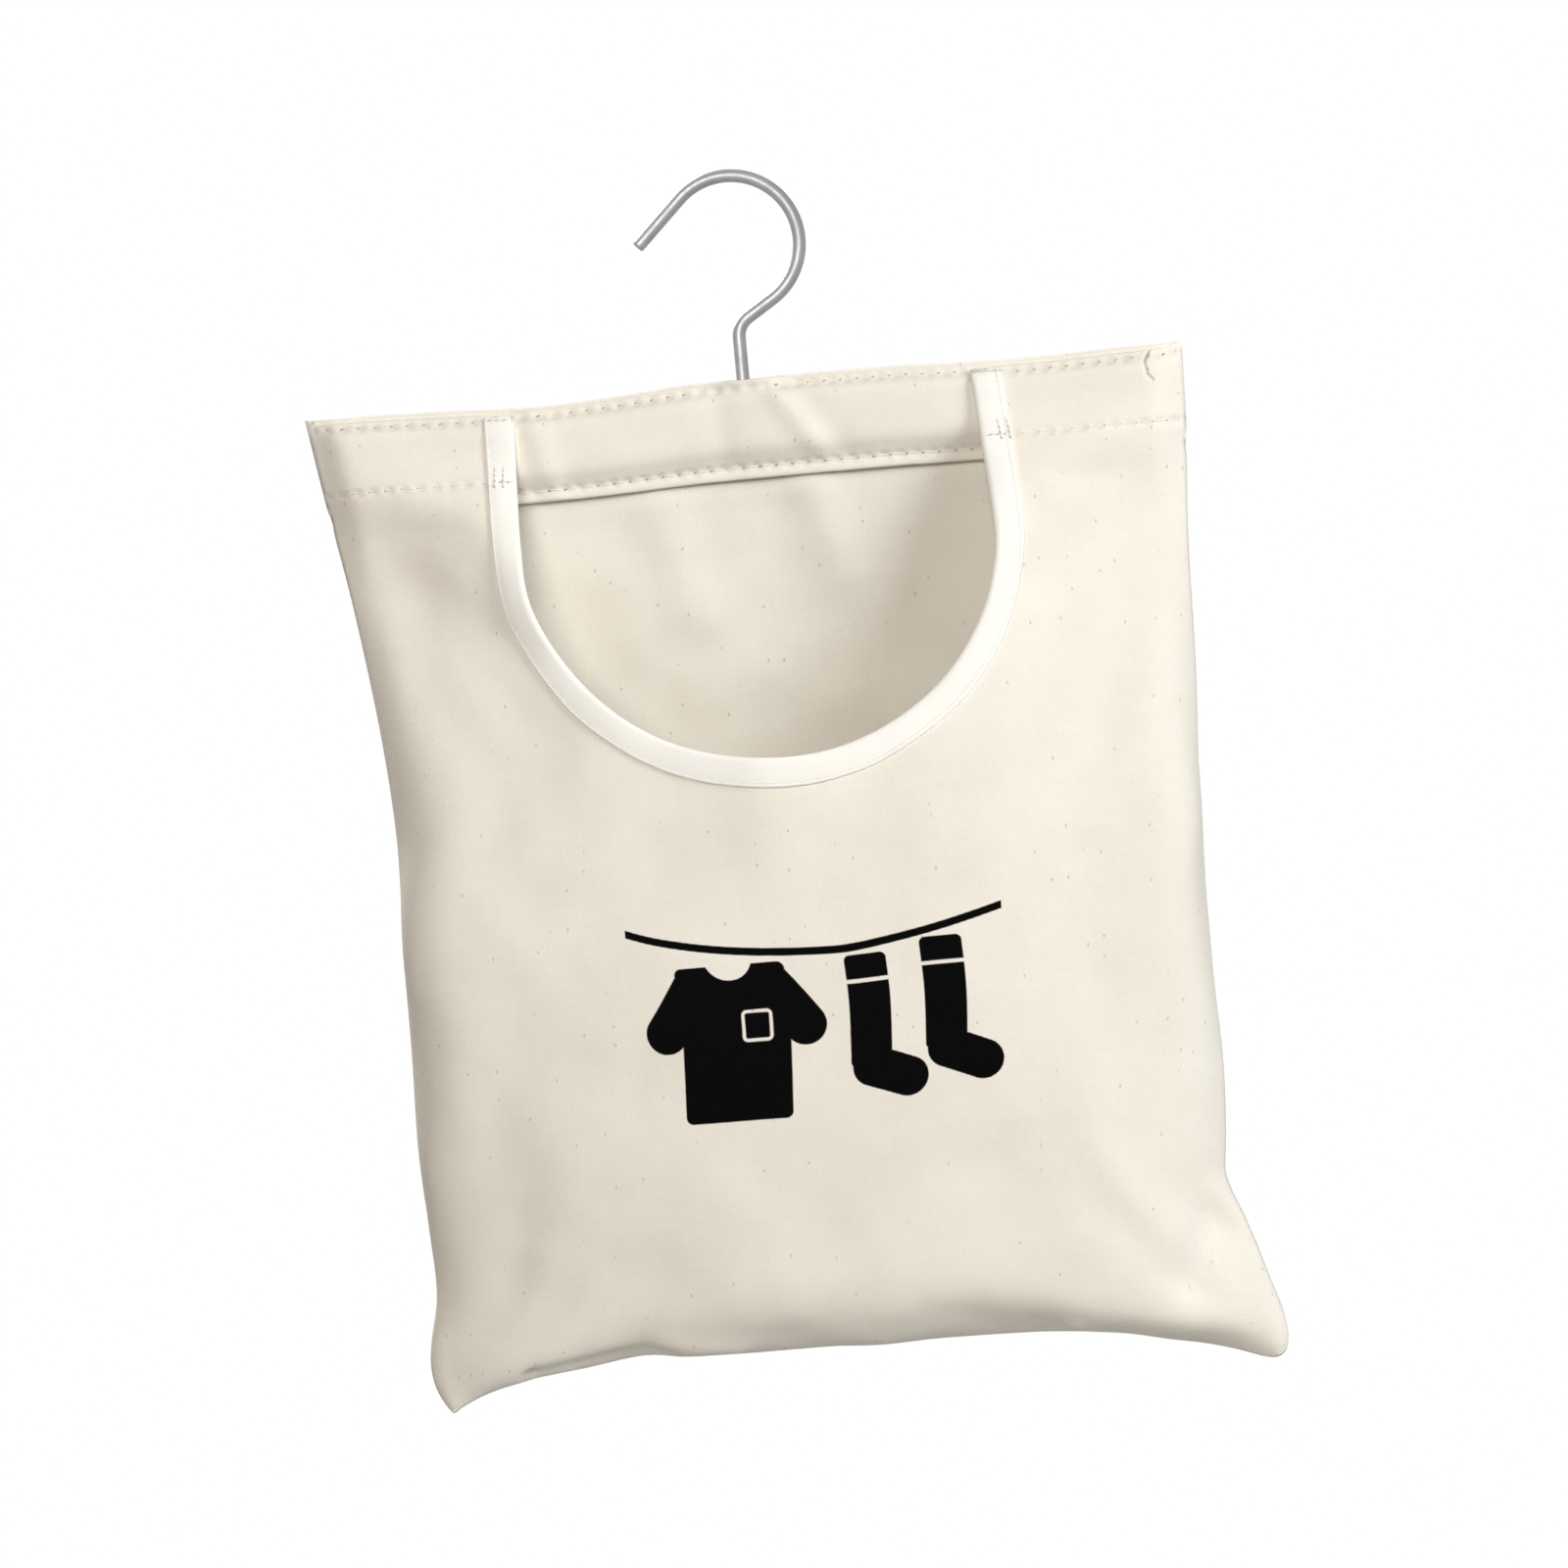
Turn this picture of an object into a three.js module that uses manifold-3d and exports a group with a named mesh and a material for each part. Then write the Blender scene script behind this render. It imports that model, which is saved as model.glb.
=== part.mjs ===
// Peg bag: a canvas pouch that hangs from a wooden bar and a swivel hook of steel wire.
// Millimetres, +Z up, +X to the right as seen from the front, the front faces -Y.
// The origin is the inside of the hook's crown, where the hook rests on a line, on the swivel's axis.
import * as THREE from 'three';
import { mergeVertices } from 'three/addons/utils/BufferGeometryUtils.js';
import Module from 'manifold-3d';

const wasm = await Module();
wasm.setup();

// Hook: one wire, bent to a crown, a straight tip and a neck that comes back to the axis
const wireDiameter = 4;
const crownInnerRadius = 19;
const crownRise = 42; // from the cloth's top edge to the crown's centre
const crownStartDegrees = -58;
const crownEndDegrees = 134;
const tipLength = 19.5;
const neckBendRadius = 7;
const headThickness = 1.6;
const headDome = 0.6;
const runningClearance = 0.3;

// Washer between the wire's upset head and the bar
const washerThickness = 0.8;
const washerInset = 0.2; // from the bar's faces
const washerRim = 0.6; // past the wire's head

// Bar: a flat slat of wood inside the header
const barEndRoom = 12.5; // from the bar's end to the side seam
const barHeight = 13;
const barThickness = 8;
const barEdgeRadius = 1.5;
const barEndRadius = 4;

// Cloth
const clothThickness = 0.8;
const bindingThickness = 0.5;
const layerGap = 0.3;
const topWidth = 271;
const sideLength = 304;
const frontFillThickness = 29; // how far the filled front stands out of the seam's plane
const backFillThickness = 29;

// Header: the top seam, the casing round the bar and the band's hem
const topSeamDepth = 3;
const shoulderDrop = 1.5; // from the back's top edge down to the shoulders' folded edge
const casingSlope = 4; // from the top seam to the bar's top, where the casing has its full width
const headRoom = 0.2; // under the wire's head, before the casing narrows
const casingTaper = 3.8; // from the casing's full width down to the band's stitches
const bandHem = 3; // from the band's stitches to its lower edge
const shoulderHemShorter = 4; // than the band
const hemStep = 0.5;
const stackFade = 16; // over this height under the band the front comes back to the side seam
const casingCloseShare = 0.68; // the casing's end narrows over this share of the room beside the bar
const seamGapHalfWidth = 14; // half the gap in the top seam, where the wire comes out

// Opening: straight sides and a half ellipse
const openingTopHalfWidth = 70.5;
const openingHalfWidth = 73;
const openingDepth = 116;
const openingBowlDepth = 66;
const openingCentre = -1;
const bindingWidth = 8.4;

// The sides draw in as the bag fills: depth, a share of sideLength, and inset, a share of halfWidth
const leftInsetShares = [[0, 0], [0.1, 0.035], [0.2, 0.072], [0.33, 0.108], [0.45, 0.123], [0.6, 0.115],
  [0.73, 0.105], [0.86, 0.115], [0.95, 0.095], [1, 0.105]];
const rightInsetShares = [[0, 0], [0.1, 0.008], [0.2, 0.024], [0.33, 0.035], [0.45, 0.052], [0.62, 0.06],
  [0.73, 0.052], [0.83, 0.08], [0.92, 0.015], [1, -0.018]];
// The bottom seam. Place from the left corner to the right one, and depth as a share of sideLength.
const bottomShares = [[-1, 1], [-0.85, 0.99], [-0.7, 0.978], [-0.4, 0.968], [0, 0.975], [0.4, 0.978],
  [0.7, 0.985], [0.85, 1], [1, 1.022]];

// How far the filled bag stands out: depth, as a share of the way to the bottom seam, and a share of the thickness
const frontFillShares = [[0, 0], [0.04, 0.17], [0.085, 0.34], [0.12, 0.46], [0.17, 0.52], [0.24, 0.57], [0.3, 0.74],
  [0.37, 0.93], [0.43, 1], [0.6, 0.98], [0.76, 0.9], [0.85, 0.8], [0.91, 0.71], [0.963, 0.5], [1, 0]];
const backFillShares = [[0, 0], [0.09, 0], [0.12, 0.2], [0.17, 0.42], [0.24, 0.6], [0.3, 0.7], [0.37, 0.82],
  [0.43, 0.9], [0.51, 0.95], [0.64, 1], [0.76, 0.95], [0.85, 0.86], [0.91, 0.77], [0.963, 0.5], [1, 0]];
const acrossPowers = { inner: 2.3, outer: 0.42 }; // how it dies out towards the side seams

// Facets, and where the cloth's rows and columns lie
const wireSides = 12;
const wireSteps = 60;
const roundSides = 24;
const bevelSteps = 3;
const panelColumns = 9; // on each side, between the wire and the casing's end
const wireColumnShares = [1, 0.6, 0.25]; // of the gap in the top seam
const seamColumnShares = [0, 0.2, 0.5, 1]; // of the casing's closing length, from the side seam
const lowerRowShares = [0.035, 0.08, 0.14, 0.2, 0.27, 0.34, 0.42, 0.5, 0.58, 0.66, 0.74, 0.81, 0.87, 0.92,
  0.96, 0.985, 1]; // of the way from the band to the bottom seam
const bowlSideSteps = 10;
const bowlBottomSteps = 14;
const frontBodySteps = 9;
const bowlCornerDegrees = 42; // round the bowl from its side to the line that runs to a corner of the bag

const wireRadius = wireDiameter / 2;
const crownRadius = crownInnerRadius + wireRadius;
const crownCentreZ = -crownInnerRadius;
const topZ = crownCentreZ - crownRise;
const halfWidth = topWidth / 2;
const barLength = topWidth - 2 * barEndRoom;
const washerDiameter = barThickness - 2 * washerInset;
const headDiameter = washerDiameter - 2 * washerRim;
const casingHalf = barThickness / 2 + layerGap;
const casingCloseLength = barEndRoom * casingCloseShare;
const barTopDepth = topSeamDepth + casingSlope;
const barBottomDepth = barTopDepth + barHeight;
const casingEndDepth = barBottomDepth + layerGap + washerThickness + layerGap + headThickness + headRoom;
const bandStitchDepth = casingEndDepth + casingTaper;
const bandDepth = bandStitchDepth + bandHem;
const shoulderHemDepth = bandDepth - shoulderHemShorter;
const seamHalf = layerGap / 2;
// the band, the binding's inner leg and the hem's inner layer lie behind the front panel, a gap apart
const frontStack = clothThickness + layerGap + bindingThickness + layerGap + clothThickness;
const openingSideDepth = openingDepth - openingBowlDepth;

const radians = (degrees) => THREE.MathUtils.degToRad(degrees);
const clamp = (value) => THREE.MathUtils.clamp(value, 0, 1);

// Value of a table of [place, value] at a place, on a smooth curve through its points
function follow(table, place) {
  const last = table.length - 1;
  let i = 0;
  while (i < last - 1 && place > table[i + 1][0]) i += 1;
  const [x0, y0] = table[i];
  const [x1, y1] = table[i + 1];
  const slopeAt = (k) => {
    const before = table[Math.max(0, k - 1)];
    const after = table[Math.min(last, k + 1)];
    return (after[1] - before[1]) / (after[0] - before[0]);
  };
  const span = x1 - x0;
  const t = clamp((place - x0) / span);
  const fall = (1 - t) * (1 - t);
  const rise = t * t;
  return fall * ((1 + 2 * t) * y0 + t * span * slopeAt(i))
    + rise * ((3 - 2 * t) * y1 - (1 - t) * span * slopeAt(i + 1));
}

const leftEdge = (depth) => -halfWidth * (1 - follow(leftInsetShares, depth / sideLength));
const rightEdge = (depth) => halfWidth * (1 - follow(rightInsetShares, depth / sideLength));
const edgeAt = (side, depth) => (side < 0 ? leftEdge(depth) : rightEdge(depth));
// place across the bag, from -1 at the left seam through 0 on the hook's axis to 1 at the right seam
const acrossOf = (x, depth) => x / Math.abs(edgeAt(x, depth));
const bottomDepth = (across) => sideLength * follow(bottomShares, across);

function fill(x, depth, shares) {
  const across = Math.min(1, Math.abs(acrossOf(x, depth)));
  const down = clamp(depth / bottomDepth(acrossOf(x, depth)));
  return follow(shares, down) * (1 - across ** acrossPowers.inner) ** acrossPowers.outer;
}

// Half the casing's hollow: nothing at the top seam, half the bar along the bar, nothing at the hem
function casing(x, depth) {
  const rise = clamp((depth - topSeamDepth) / casingSlope);
  const fall = clamp((bandStitchDepth - depth) / (bandStitchDepth - casingEndDepth));
  const toSeam = Math.min(x - leftEdge(depth), rightEdge(depth) - x);
  return (casingHalf - seamHalf) * Math.min(rise, fall) * clamp(toSeam / casingCloseLength);
}

// The two layers of the top seam part round the wire
function seamParting(x, depth) {
  const spread = Math.max(0, 1 - (x / seamGapHalfWidth) ** 2) ** 2;
  const parted = (wireRadius + runningClearance - seamHalf) * spread;
  return Math.max(casing(x, depth), parted * clamp((bandStitchDepth - depth) / casingSlope));
}

const backInnerY = (x, depth) => seamHalf + seamParting(x, depth)
  + backFillThickness * fill(x, depth, backFillShares) * Number(depth > bandStitchDepth);
const bandInnerY = (x, depth) => (depth > bandStitchDepth
  ? backInnerY(x, depth) - 2 * seamHalf
  : -seamHalf - seamParting(x, depth));
function frontInnerY(x, depth) {
  const stacked = clamp((bandDepth + stackFade - depth) / stackFade);
  const stand = Math.hypot(casing(x, depth), frontFillThickness * fill(x, depth, frontFillShares));
  return -(seamHalf + frontStack * stacked + stand);
}

const place = (x, y, depth) => new THREE.Vector3(x, y, topZ - depth);

function material(color, roughness, metalness) {
  return new THREE.MeshStandardMaterial({ color, roughness, metalness });
}
const canvas = material(0xefe7d6, 0.95, 0);
const tape = material(0xfbf9ee, 0.9, 0);
const steel = material(0xb9bcbe, 0.3, 1);
const wood = material(0xcfa873, 0.7, 0);

function toSolid(geometry) {
  const bare = new THREE.BufferGeometry();
  bare.setAttribute('position', geometry.getAttribute('position'));
  bare.setIndex(geometry.getIndex());
  const merged = mergeVertices(bare);
  return new wasm.Manifold(new wasm.Mesh({
    numProp: 3,
    vertProperties: Float32Array.from(merged.getAttribute('position').array),
    triVerts: Uint32Array.from(merged.getIndex().array),
  }));
}

function fromSolid(solid) {
  const { vertProperties, triVerts } = solid.getMesh();
  return closedGeometry(vertProperties, triVerts);
}

function closedGeometry(coordinates, corners) {
  const geometry = new THREE.BufferGeometry();
  geometry.setAttribute('position', new THREE.BufferAttribute(Float32Array.from(coordinates), 3));
  geometry.setIndex(new THREE.BufferAttribute(Uint32Array.from(corners), 1));
  geometry.computeVertexNormals();
  return geometry;
}

// Unit normals of a net of points: over its columns crossed with down its rows, times sense
function netNormals(net, sense) {
  const rows = net.length - 1;
  const columns = net[0].length - 1;
  return net.map((line, i) => line.map((point, j) => {
    const along = new THREE.Vector3().subVectors(net[Math.min(rows, i + 1)][j], net[Math.max(0, i - 1)][j]);
    const over = new THREE.Vector3().subVectors(line[Math.min(columns, j + 1)], line[Math.max(0, j - 1)]);
    return over.cross(along).multiplyScalar(sense).normalize();
  }));
}

// A closed shell between two nets of points, front and rear. Seen from the front net's side, its columns run
// to the right as its rows run down.
function shell(frontNet, rearNet) {
  const lastRow = frontNet.length - 1;
  const lastColumn = frontNet[0].length - 1;
  const columns = lastColumn + 1;
  const coordinates = [...frontNet.flat(), ...rearNet.flat()].flatMap((p) => [p.x, p.y, p.z]);
  const corners = [];
  const front = (i, j) => i * columns + j;
  const rear = (i, j) => (frontNet.length + i) * columns + j;
  const quad = (a, b, c, d) => corners.push(a, b, c, a, c, d);
  for (let i = 0; i < lastRow; i += 1) {
    for (let j = 0; j < lastColumn; j += 1) {
      quad(front(i, j), front(i + 1, j), front(i + 1, j + 1), front(i, j + 1));
      quad(rear(i, j), rear(i, j + 1), rear(i + 1, j + 1), rear(i + 1, j));
    }
    quad(rear(i, 0), rear(i + 1, 0), front(i + 1, 0), front(i, 0));
    quad(rear(i + 1, lastColumn), rear(i, lastColumn), front(i, lastColumn), front(i + 1, lastColumn));
  }
  for (let j = 0; j < lastColumn; j += 1) {
    quad(rear(0, j + 1), rear(0, j), front(0, j), front(0, j + 1));
    quad(rear(lastRow, j), rear(lastRow, j + 1), front(lastRow, j + 1), front(lastRow, j));
  }
  return closedGeometry(coordinates, corners);
}

const offset = (net, normals, distance) => net.map((line, i) => line.map((point, j) => (
  point.clone().addScaledVector(normals[i][j], distance)
)));

// Point of a circle in the upright plane that the hook lies in
function onCircle(centre, radius, degrees) {
  const angle = radians(degrees);
  return new THREE.Vector3(centre.x + radius * Math.cos(angle), 0, centre.z + radius * Math.sin(angle));
}

class UprightArc extends THREE.Curve {
  constructor(centre, radius, startDegrees, endDegrees) {
    super();
    Object.assign(this, { centre, radius, startDegrees, endDegrees });
  }

  getPoint(t, target = new THREE.Vector3()) {
    const degrees = THREE.MathUtils.lerp(this.startDegrees, this.endDegrees, t);
    return target.copy(onCircle(this.centre, this.radius, degrees));
  }
}

const washerTopZ = topZ - barBottomDepth - layerGap;
const headTopZ = washerTopZ - washerThickness - layerGap;

function makeHook() {
  const crownCentre = new THREE.Vector3(0, 0, crownCentreZ);
  const quarterTurn = 90;
  const halfTurn = 180;
  const origin = new THREE.Vector3();
  // the neck is a tangent of the crown, back to the swivel's axis, and the tip is a tangent too
  const crownStart = onCircle(crownCentre, crownRadius, crownStartDegrees);
  const neckDirection = onCircle(origin, 1, crownStartDegrees - quarterTurn);
  const corner = crownStart.clone().addScaledVector(neckDirection, -crownStart.x / neckDirection.x);
  const bendTrim = neckBendRadius * Math.tan(radians(-crownStartDegrees) / 2);
  const bendTop = corner.clone().addScaledVector(neckDirection, -bendTrim);
  const shankTop = new THREE.Vector3(0, 0, corner.z - bendTrim);
  const shankFoot = new THREE.Vector3(0, 0, headTopZ - headThickness / 2);
  const bendCentre = new THREE.Vector3(neckBendRadius, 0, shankTop.z);
  const crownEnd = onCircle(crownCentre, crownRadius, crownEndDegrees);
  const tipDirection = onCircle(origin, 1, crownEndDegrees + quarterTurn);
  const tip = crownEnd.clone().addScaledVector(tipDirection, tipLength);
  const path = new THREE.CurvePath();
  path.add(new THREE.LineCurve3(shankFoot, shankTop));
  path.add(new UprightArc(bendCentre, neckBendRadius, halfTurn, halfTurn + crownStartDegrees));
  path.add(new THREE.LineCurve3(bendTop, crownStart));
  path.add(new UprightArc(crownCentre, crownRadius, crownStartDegrees, crownEndDegrees));
  path.add(new THREE.LineCurve3(crownEnd, tip));
  const section = new THREE.Shape().absarc(0, 0, wireRadius, 0, Math.PI * 2);
  const wire = new THREE.ExtrudeGeometry(section, {
    extrudePath: path, steps: wireSteps, curveSegments: wireSides / 2,
  });
  const headRadius = headDiameter / 2;
  const headFoot = headTopZ - headThickness;
  const head = new THREE.LatheGeometry([
    new THREE.Vector2(0, headFoot),
    new THREE.Vector2(headRadius - headDome, headFoot),
    new THREE.Vector2(headRadius, headFoot + headDome),
    new THREE.Vector2(headRadius, headTopZ),
    new THREE.Vector2(0, headTopZ),
  ], roundSides);
  head.rotateX(Math.PI / 2);
  return fromSolid(toSolid(wire).add(toSolid(head)));
}

function makeWasher() {
  const inner = wireRadius + runningClearance;
  const outer = washerDiameter / 2;
  const foot = washerTopZ - washerThickness;
  const ring = new THREE.LatheGeometry([
    new THREE.Vector2(inner, foot),
    new THREE.Vector2(outer, foot),
    new THREE.Vector2(outer, washerTopZ),
    new THREE.Vector2(inner, washerTopZ),
    new THREE.Vector2(inner, foot),
  ], roundSides);
  ring.rotateX(Math.PI / 2);
  return ring;
}

function makeBar() {
  // the bevel adds the edge radius back all round, so the flat outline is smaller by it
  const halfLength = barLength / 2 - barEdgeRadius;
  const halfHeight = barHeight / 2 - barEdgeRadius;
  const corner = barEndRadius - barEdgeRadius;
  const outline = new THREE.Shape();
  outline.moveTo(-halfLength + corner, -halfHeight);
  outline.absarc(halfLength - corner, -halfHeight + corner, corner, -Math.PI / 2, 0);
  outline.absarc(halfLength - corner, halfHeight - corner, corner, 0, Math.PI / 2);
  outline.absarc(-halfLength + corner, halfHeight - corner, corner, Math.PI / 2, Math.PI);
  outline.absarc(-halfLength + corner, -halfHeight + corner, corner, Math.PI, Math.PI * 3 / 2);
  const flatDepth = barThickness - 2 * barEdgeRadius;
  const slat = new THREE.ExtrudeGeometry(outline, {
    depth: flatDepth, bevelEnabled: true, bevelThickness: barEdgeRadius, bevelSize: barEdgeRadius,
    bevelSegments: bevelSteps, curveSegments: bevelSteps,
  });
  slat.rotateX(Math.PI / 2);
  slat.translate(0, flatDepth / 2, topZ - barTopDepth - barHeight / 2);
  const holeRadius = wireRadius + runningClearance;
  const hole = new THREE.CylinderGeometry(holeRadius, holeRadius, barHeight * 2, roundSides);
  hole.rotateX(Math.PI / 2);
  hole.translate(0, 0, topZ - barTopDepth - barHeight / 2);
  return fromSolid(toSolid(slat).subtract(toSolid(hole)));
}

// Columns across the bag: close together at the seams and round the wire
function columnPlaces(depth) {
  const half = (side) => {
    const edge = Math.abs(edgeAt(side, depth));
    const atSeam = seamColumnShares.map((share) => edge - share * casingCloseLength);
    const last = edge - casingCloseLength;
    const between = Array.from({ length: panelColumns - 1 }, (_, i) => (
      THREE.MathUtils.lerp(last, seamGapHalfWidth, (i + 1) / panelColumns)
    ));
    const atWire = wireColumnShares.map((share) => share * seamGapHalfWidth);
    return [...atSeam, ...between, ...atWire].map((x) => side * x);
  };
  return [...half(-1), 0, ...half(1).reverse()];
}

const headerDepths = [0, topSeamDepth, barTopDepth, (barTopDepth + casingEndDepth) / 2, casingEndDepth,
  (casingEndDepth + bandStitchDepth) / 2, bandStitchDepth, bandDepth];

function panelNet(depthRows, innerY) {
  return depthRows.map((row) => columnPlaces(row(0)).map((column) => {
    const across = acrossOf(column, row(0));
    const depth = row(across);
    const x = across * Math.abs(edgeAt(column, depth));
    return place(x, innerY(x, depth), depth);
  }));
}

function makeBackPanel() {
  const lowerRow = (share) => (across) => THREE.MathUtils.lerp(bandDepth, bottomDepth(across), share);
  const rows = [...headerDepths.map((depth) => () => depth), ...lowerRowShares.map(lowerRow)];
  const inner = panelNet(rows, backInnerY);
  const outer = offset(inner, netNormals(inner, 1), clothThickness);
  return shell(inner, outer);
}

function makeHeaderBand() {
  const rows = headerDepths.map((depth) => () => depth);
  const inner = panelNet(rows, bandInnerY);
  const outer = offset(inner, netNormals(inner, -1), clothThickness);
  return shell(outer, inner);
}

// Stations down one side of the opening, round its bowl and up the other side. Each joins a place on the
// opening's edge to a place on the outline, as [x, depth] pairs.
function openingStations() {
  const barMiddleDepth = (barTopDepth + casingEndDepth) / 2;
  const sideDepths = [shoulderDrop, topSeamDepth, barTopDepth, barMiddleDepth, casingEndDepth,
    shoulderHemDepth, shoulderHemDepth + hemStep, bandDepth, bandDepth + stackFade / 2];
  sideDepths.sort((a, b) => a - b);
  const sideX = (side, depth) => openingCentre + side * THREE.MathUtils.lerp(
    openingTopHalfWidth,
    openingHalfWidth,
    Math.sin(clamp(depth / openingSideDepth) * Math.PI / 2),
  );
  const shoulder = (side) => sideDepths.map((depth) => ({
    edge: [sideX(side, depth), depth],
    seam: [edgeAt(side, depth), depth],
    hemmed: depth <= shoulderHemDepth,
  }));
  const bowlStart = 180;
  const bowlEnd = 360;
  const bowlPoint = (degrees) => [
    openingCentre + openingHalfWidth * Math.cos(radians(degrees)),
    openingSideDepth - openingBowlDepth * Math.sin(radians(degrees)),
  ];
  const sideStation = (side, t) => {
    const degrees = side < 0 ? bowlStart + bowlCornerDegrees * t : bowlEnd - bowlCornerDegrees * t;
    const depth = THREE.MathUtils.lerp(openingSideDepth, bottomDepth(side), t);
    return { edge: bowlPoint(degrees), seam: [edgeAt(side, depth), depth], hemmed: false };
  };
  const bottomStation = (t) => {
    const degrees = THREE.MathUtils.lerp(bowlStart + bowlCornerDegrees, bowlEnd - bowlCornerDegrees, t);
    const across = THREE.MathUtils.lerp(-1, 1, t);
    const depth = bottomDepth(across);
    const seam = [across * Math.abs(edgeAt(across, depth)), depth];
    return { edge: bowlPoint(degrees), seam, hemmed: false };
  };
  const steps = (count) => Array.from({ length: count }, (_, i) => i / count);
  return [
    ...shoulder(-1),
    ...steps(bowlSideSteps).map((t) => sideStation(-1, t)),
    ...steps(bowlBottomSteps).map((t) => bottomStation(t)),
    ...steps(bowlSideSteps).map((t) => sideStation(1, 1 - t)),
    sideStation(1, 0),
    ...shoulder(1).reverse(),
  ];
}

// One line of the front panel's net, from the opening's edge to the seam
function stationLine({ edge, seam }) {
  const from = new THREE.Vector2(...edge);
  const to = new THREE.Vector2(...seam);
  const length = from.distanceTo(to);
  const body = Array.from({ length: frontBodySteps }, (_, i) => (
    THREE.MathUtils.lerp(bindingWidth, length - casingCloseLength, i / frontBodySteps)
  ));
  const atSeam = seamColumnShares.map((share) => length - share * casingCloseLength).reverse();
  const distances = [0, ...body, ...atSeam];
  return distances.map((distance) => {
    const point = from.clone().lerp(to, distance / length);
    return place(point.x, frontInnerY(point.x, point.y), point.y);
  });
}

const stations = openingStations();
const frontNet = stations.map(stationLine);
const frontNormals = netNormals(frontNet, 1);
const frontOuterNet = offset(frontNet, frontNormals, clothThickness);
// the shoulders' hem is folded to the inside, so the panel is two layers thick there
const frontInnerNet = frontNet.map((line, i) => line.map((point, j) => (
  point.clone().addScaledVector(frontNormals[i][j], stations[i].hemmed ? -clothThickness : 0)
)));

function makeFrontPanel() {
  return shell(frontInnerNet, frontOuterNet);
}

// The tape is folded over the opening's edge: an outer leg, the fold and an inner leg
function makeBinding() {
  const reach = layerGap + bindingThickness;
  const sections = stations.map((_, i) => {
    const [outerEdge, outerFar] = frontOuterNet[i];
    const [innerEdge, innerFar] = frontInnerNet[i];
    const away = new THREE.Vector3().subVectors(outerEdge, outerFar).normalize();
    const normal = frontNormals[i];
    const at = (point, out, distance, k) => point.clone()
      .addScaledVector(away, out)
      .addScaledVector(normal[k], distance);
    return {
      skin: [
        at(outerFar, 0, reach, 1), at(outerEdge, reach, reach, 0),
        at(innerEdge, reach, -reach, 0), at(innerFar, 0, -reach, 1),
      ],
      lining: [
        at(outerFar, 0, layerGap, 1), at(outerEdge, layerGap, layerGap, 0),
        at(innerEdge, layerGap, -layerGap, 0), at(innerFar, 0, -layerGap, 1),
      ],
    };
  });
  return shell(sections.map((s) => s.skin), sections.map((s) => s.lining));
}

const pegBag = new THREE.Group();
function add(group, name, geometry, surface) {
  const mesh = new THREE.Mesh(geometry, surface);
  mesh.name = name;
  group.add(mesh);
}

const hookGroup = new THREE.Group();
add(hookGroup, 'hook', makeHook(), steel);
add(hookGroup, 'hook_washer', makeWasher(), steel);

const bagGroup = new THREE.Group();
add(bagGroup, 'hanger_bar', makeBar(), wood);
add(bagGroup, 'back_panel', makeBackPanel(), canvas);
add(bagGroup, 'header_band', makeHeaderBand(), canvas);
add(bagGroup, 'front_panel', makeFrontPanel(), canvas);
add(bagGroup, 'opening_binding', makeBinding(), tape);

pegBag.add(hookGroup, bagGroup);

export default pegBag;
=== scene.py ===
import math

import bpy
import numpy as np
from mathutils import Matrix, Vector, noise
from mathutils.bvhtree import BVHTree
from mathutils.interpolate import poly_3d_calc


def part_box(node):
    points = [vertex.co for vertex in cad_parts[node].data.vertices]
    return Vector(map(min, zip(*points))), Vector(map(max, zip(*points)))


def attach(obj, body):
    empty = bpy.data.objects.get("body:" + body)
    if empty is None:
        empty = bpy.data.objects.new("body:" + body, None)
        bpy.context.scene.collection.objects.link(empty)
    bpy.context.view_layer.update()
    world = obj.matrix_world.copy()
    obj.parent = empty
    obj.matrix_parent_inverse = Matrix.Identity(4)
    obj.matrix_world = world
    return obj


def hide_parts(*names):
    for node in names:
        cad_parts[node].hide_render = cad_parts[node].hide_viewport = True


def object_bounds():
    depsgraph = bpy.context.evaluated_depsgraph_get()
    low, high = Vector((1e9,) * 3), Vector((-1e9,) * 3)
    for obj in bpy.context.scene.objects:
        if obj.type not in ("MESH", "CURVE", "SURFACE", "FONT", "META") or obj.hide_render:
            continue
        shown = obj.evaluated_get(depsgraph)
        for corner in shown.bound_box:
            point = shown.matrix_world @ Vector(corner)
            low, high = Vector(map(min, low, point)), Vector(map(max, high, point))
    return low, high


# A peg bag of unbleached canvas on a wooden bar and a swivel hook of steel wire.
# Metres, +Z up, +X to the right as seen from the front, the front faces -Y.
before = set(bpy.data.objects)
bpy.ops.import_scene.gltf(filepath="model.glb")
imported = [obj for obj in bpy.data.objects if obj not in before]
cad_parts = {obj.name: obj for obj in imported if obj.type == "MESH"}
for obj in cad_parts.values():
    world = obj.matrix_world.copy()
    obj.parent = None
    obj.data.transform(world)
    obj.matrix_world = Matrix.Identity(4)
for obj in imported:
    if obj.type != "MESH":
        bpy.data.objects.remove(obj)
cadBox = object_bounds()
scene = bpy.context.scene
print("frame: loaded", sorted(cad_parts))

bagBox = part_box("back_panel")
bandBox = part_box("header_band")
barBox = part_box("hanger_bar")
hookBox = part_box("hook")
topZ = bagBox[1].z  # the cloth's top edge
halfWidth = -bagBox[0].x  # of the top edge
bandDepth = topZ - bandBox[0].z  # from the top edge to the band's hem
wireRadius = hookBox[1].z / 2  # the origin is the inside of the hook's crown


# Stage, camera and lights

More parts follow.
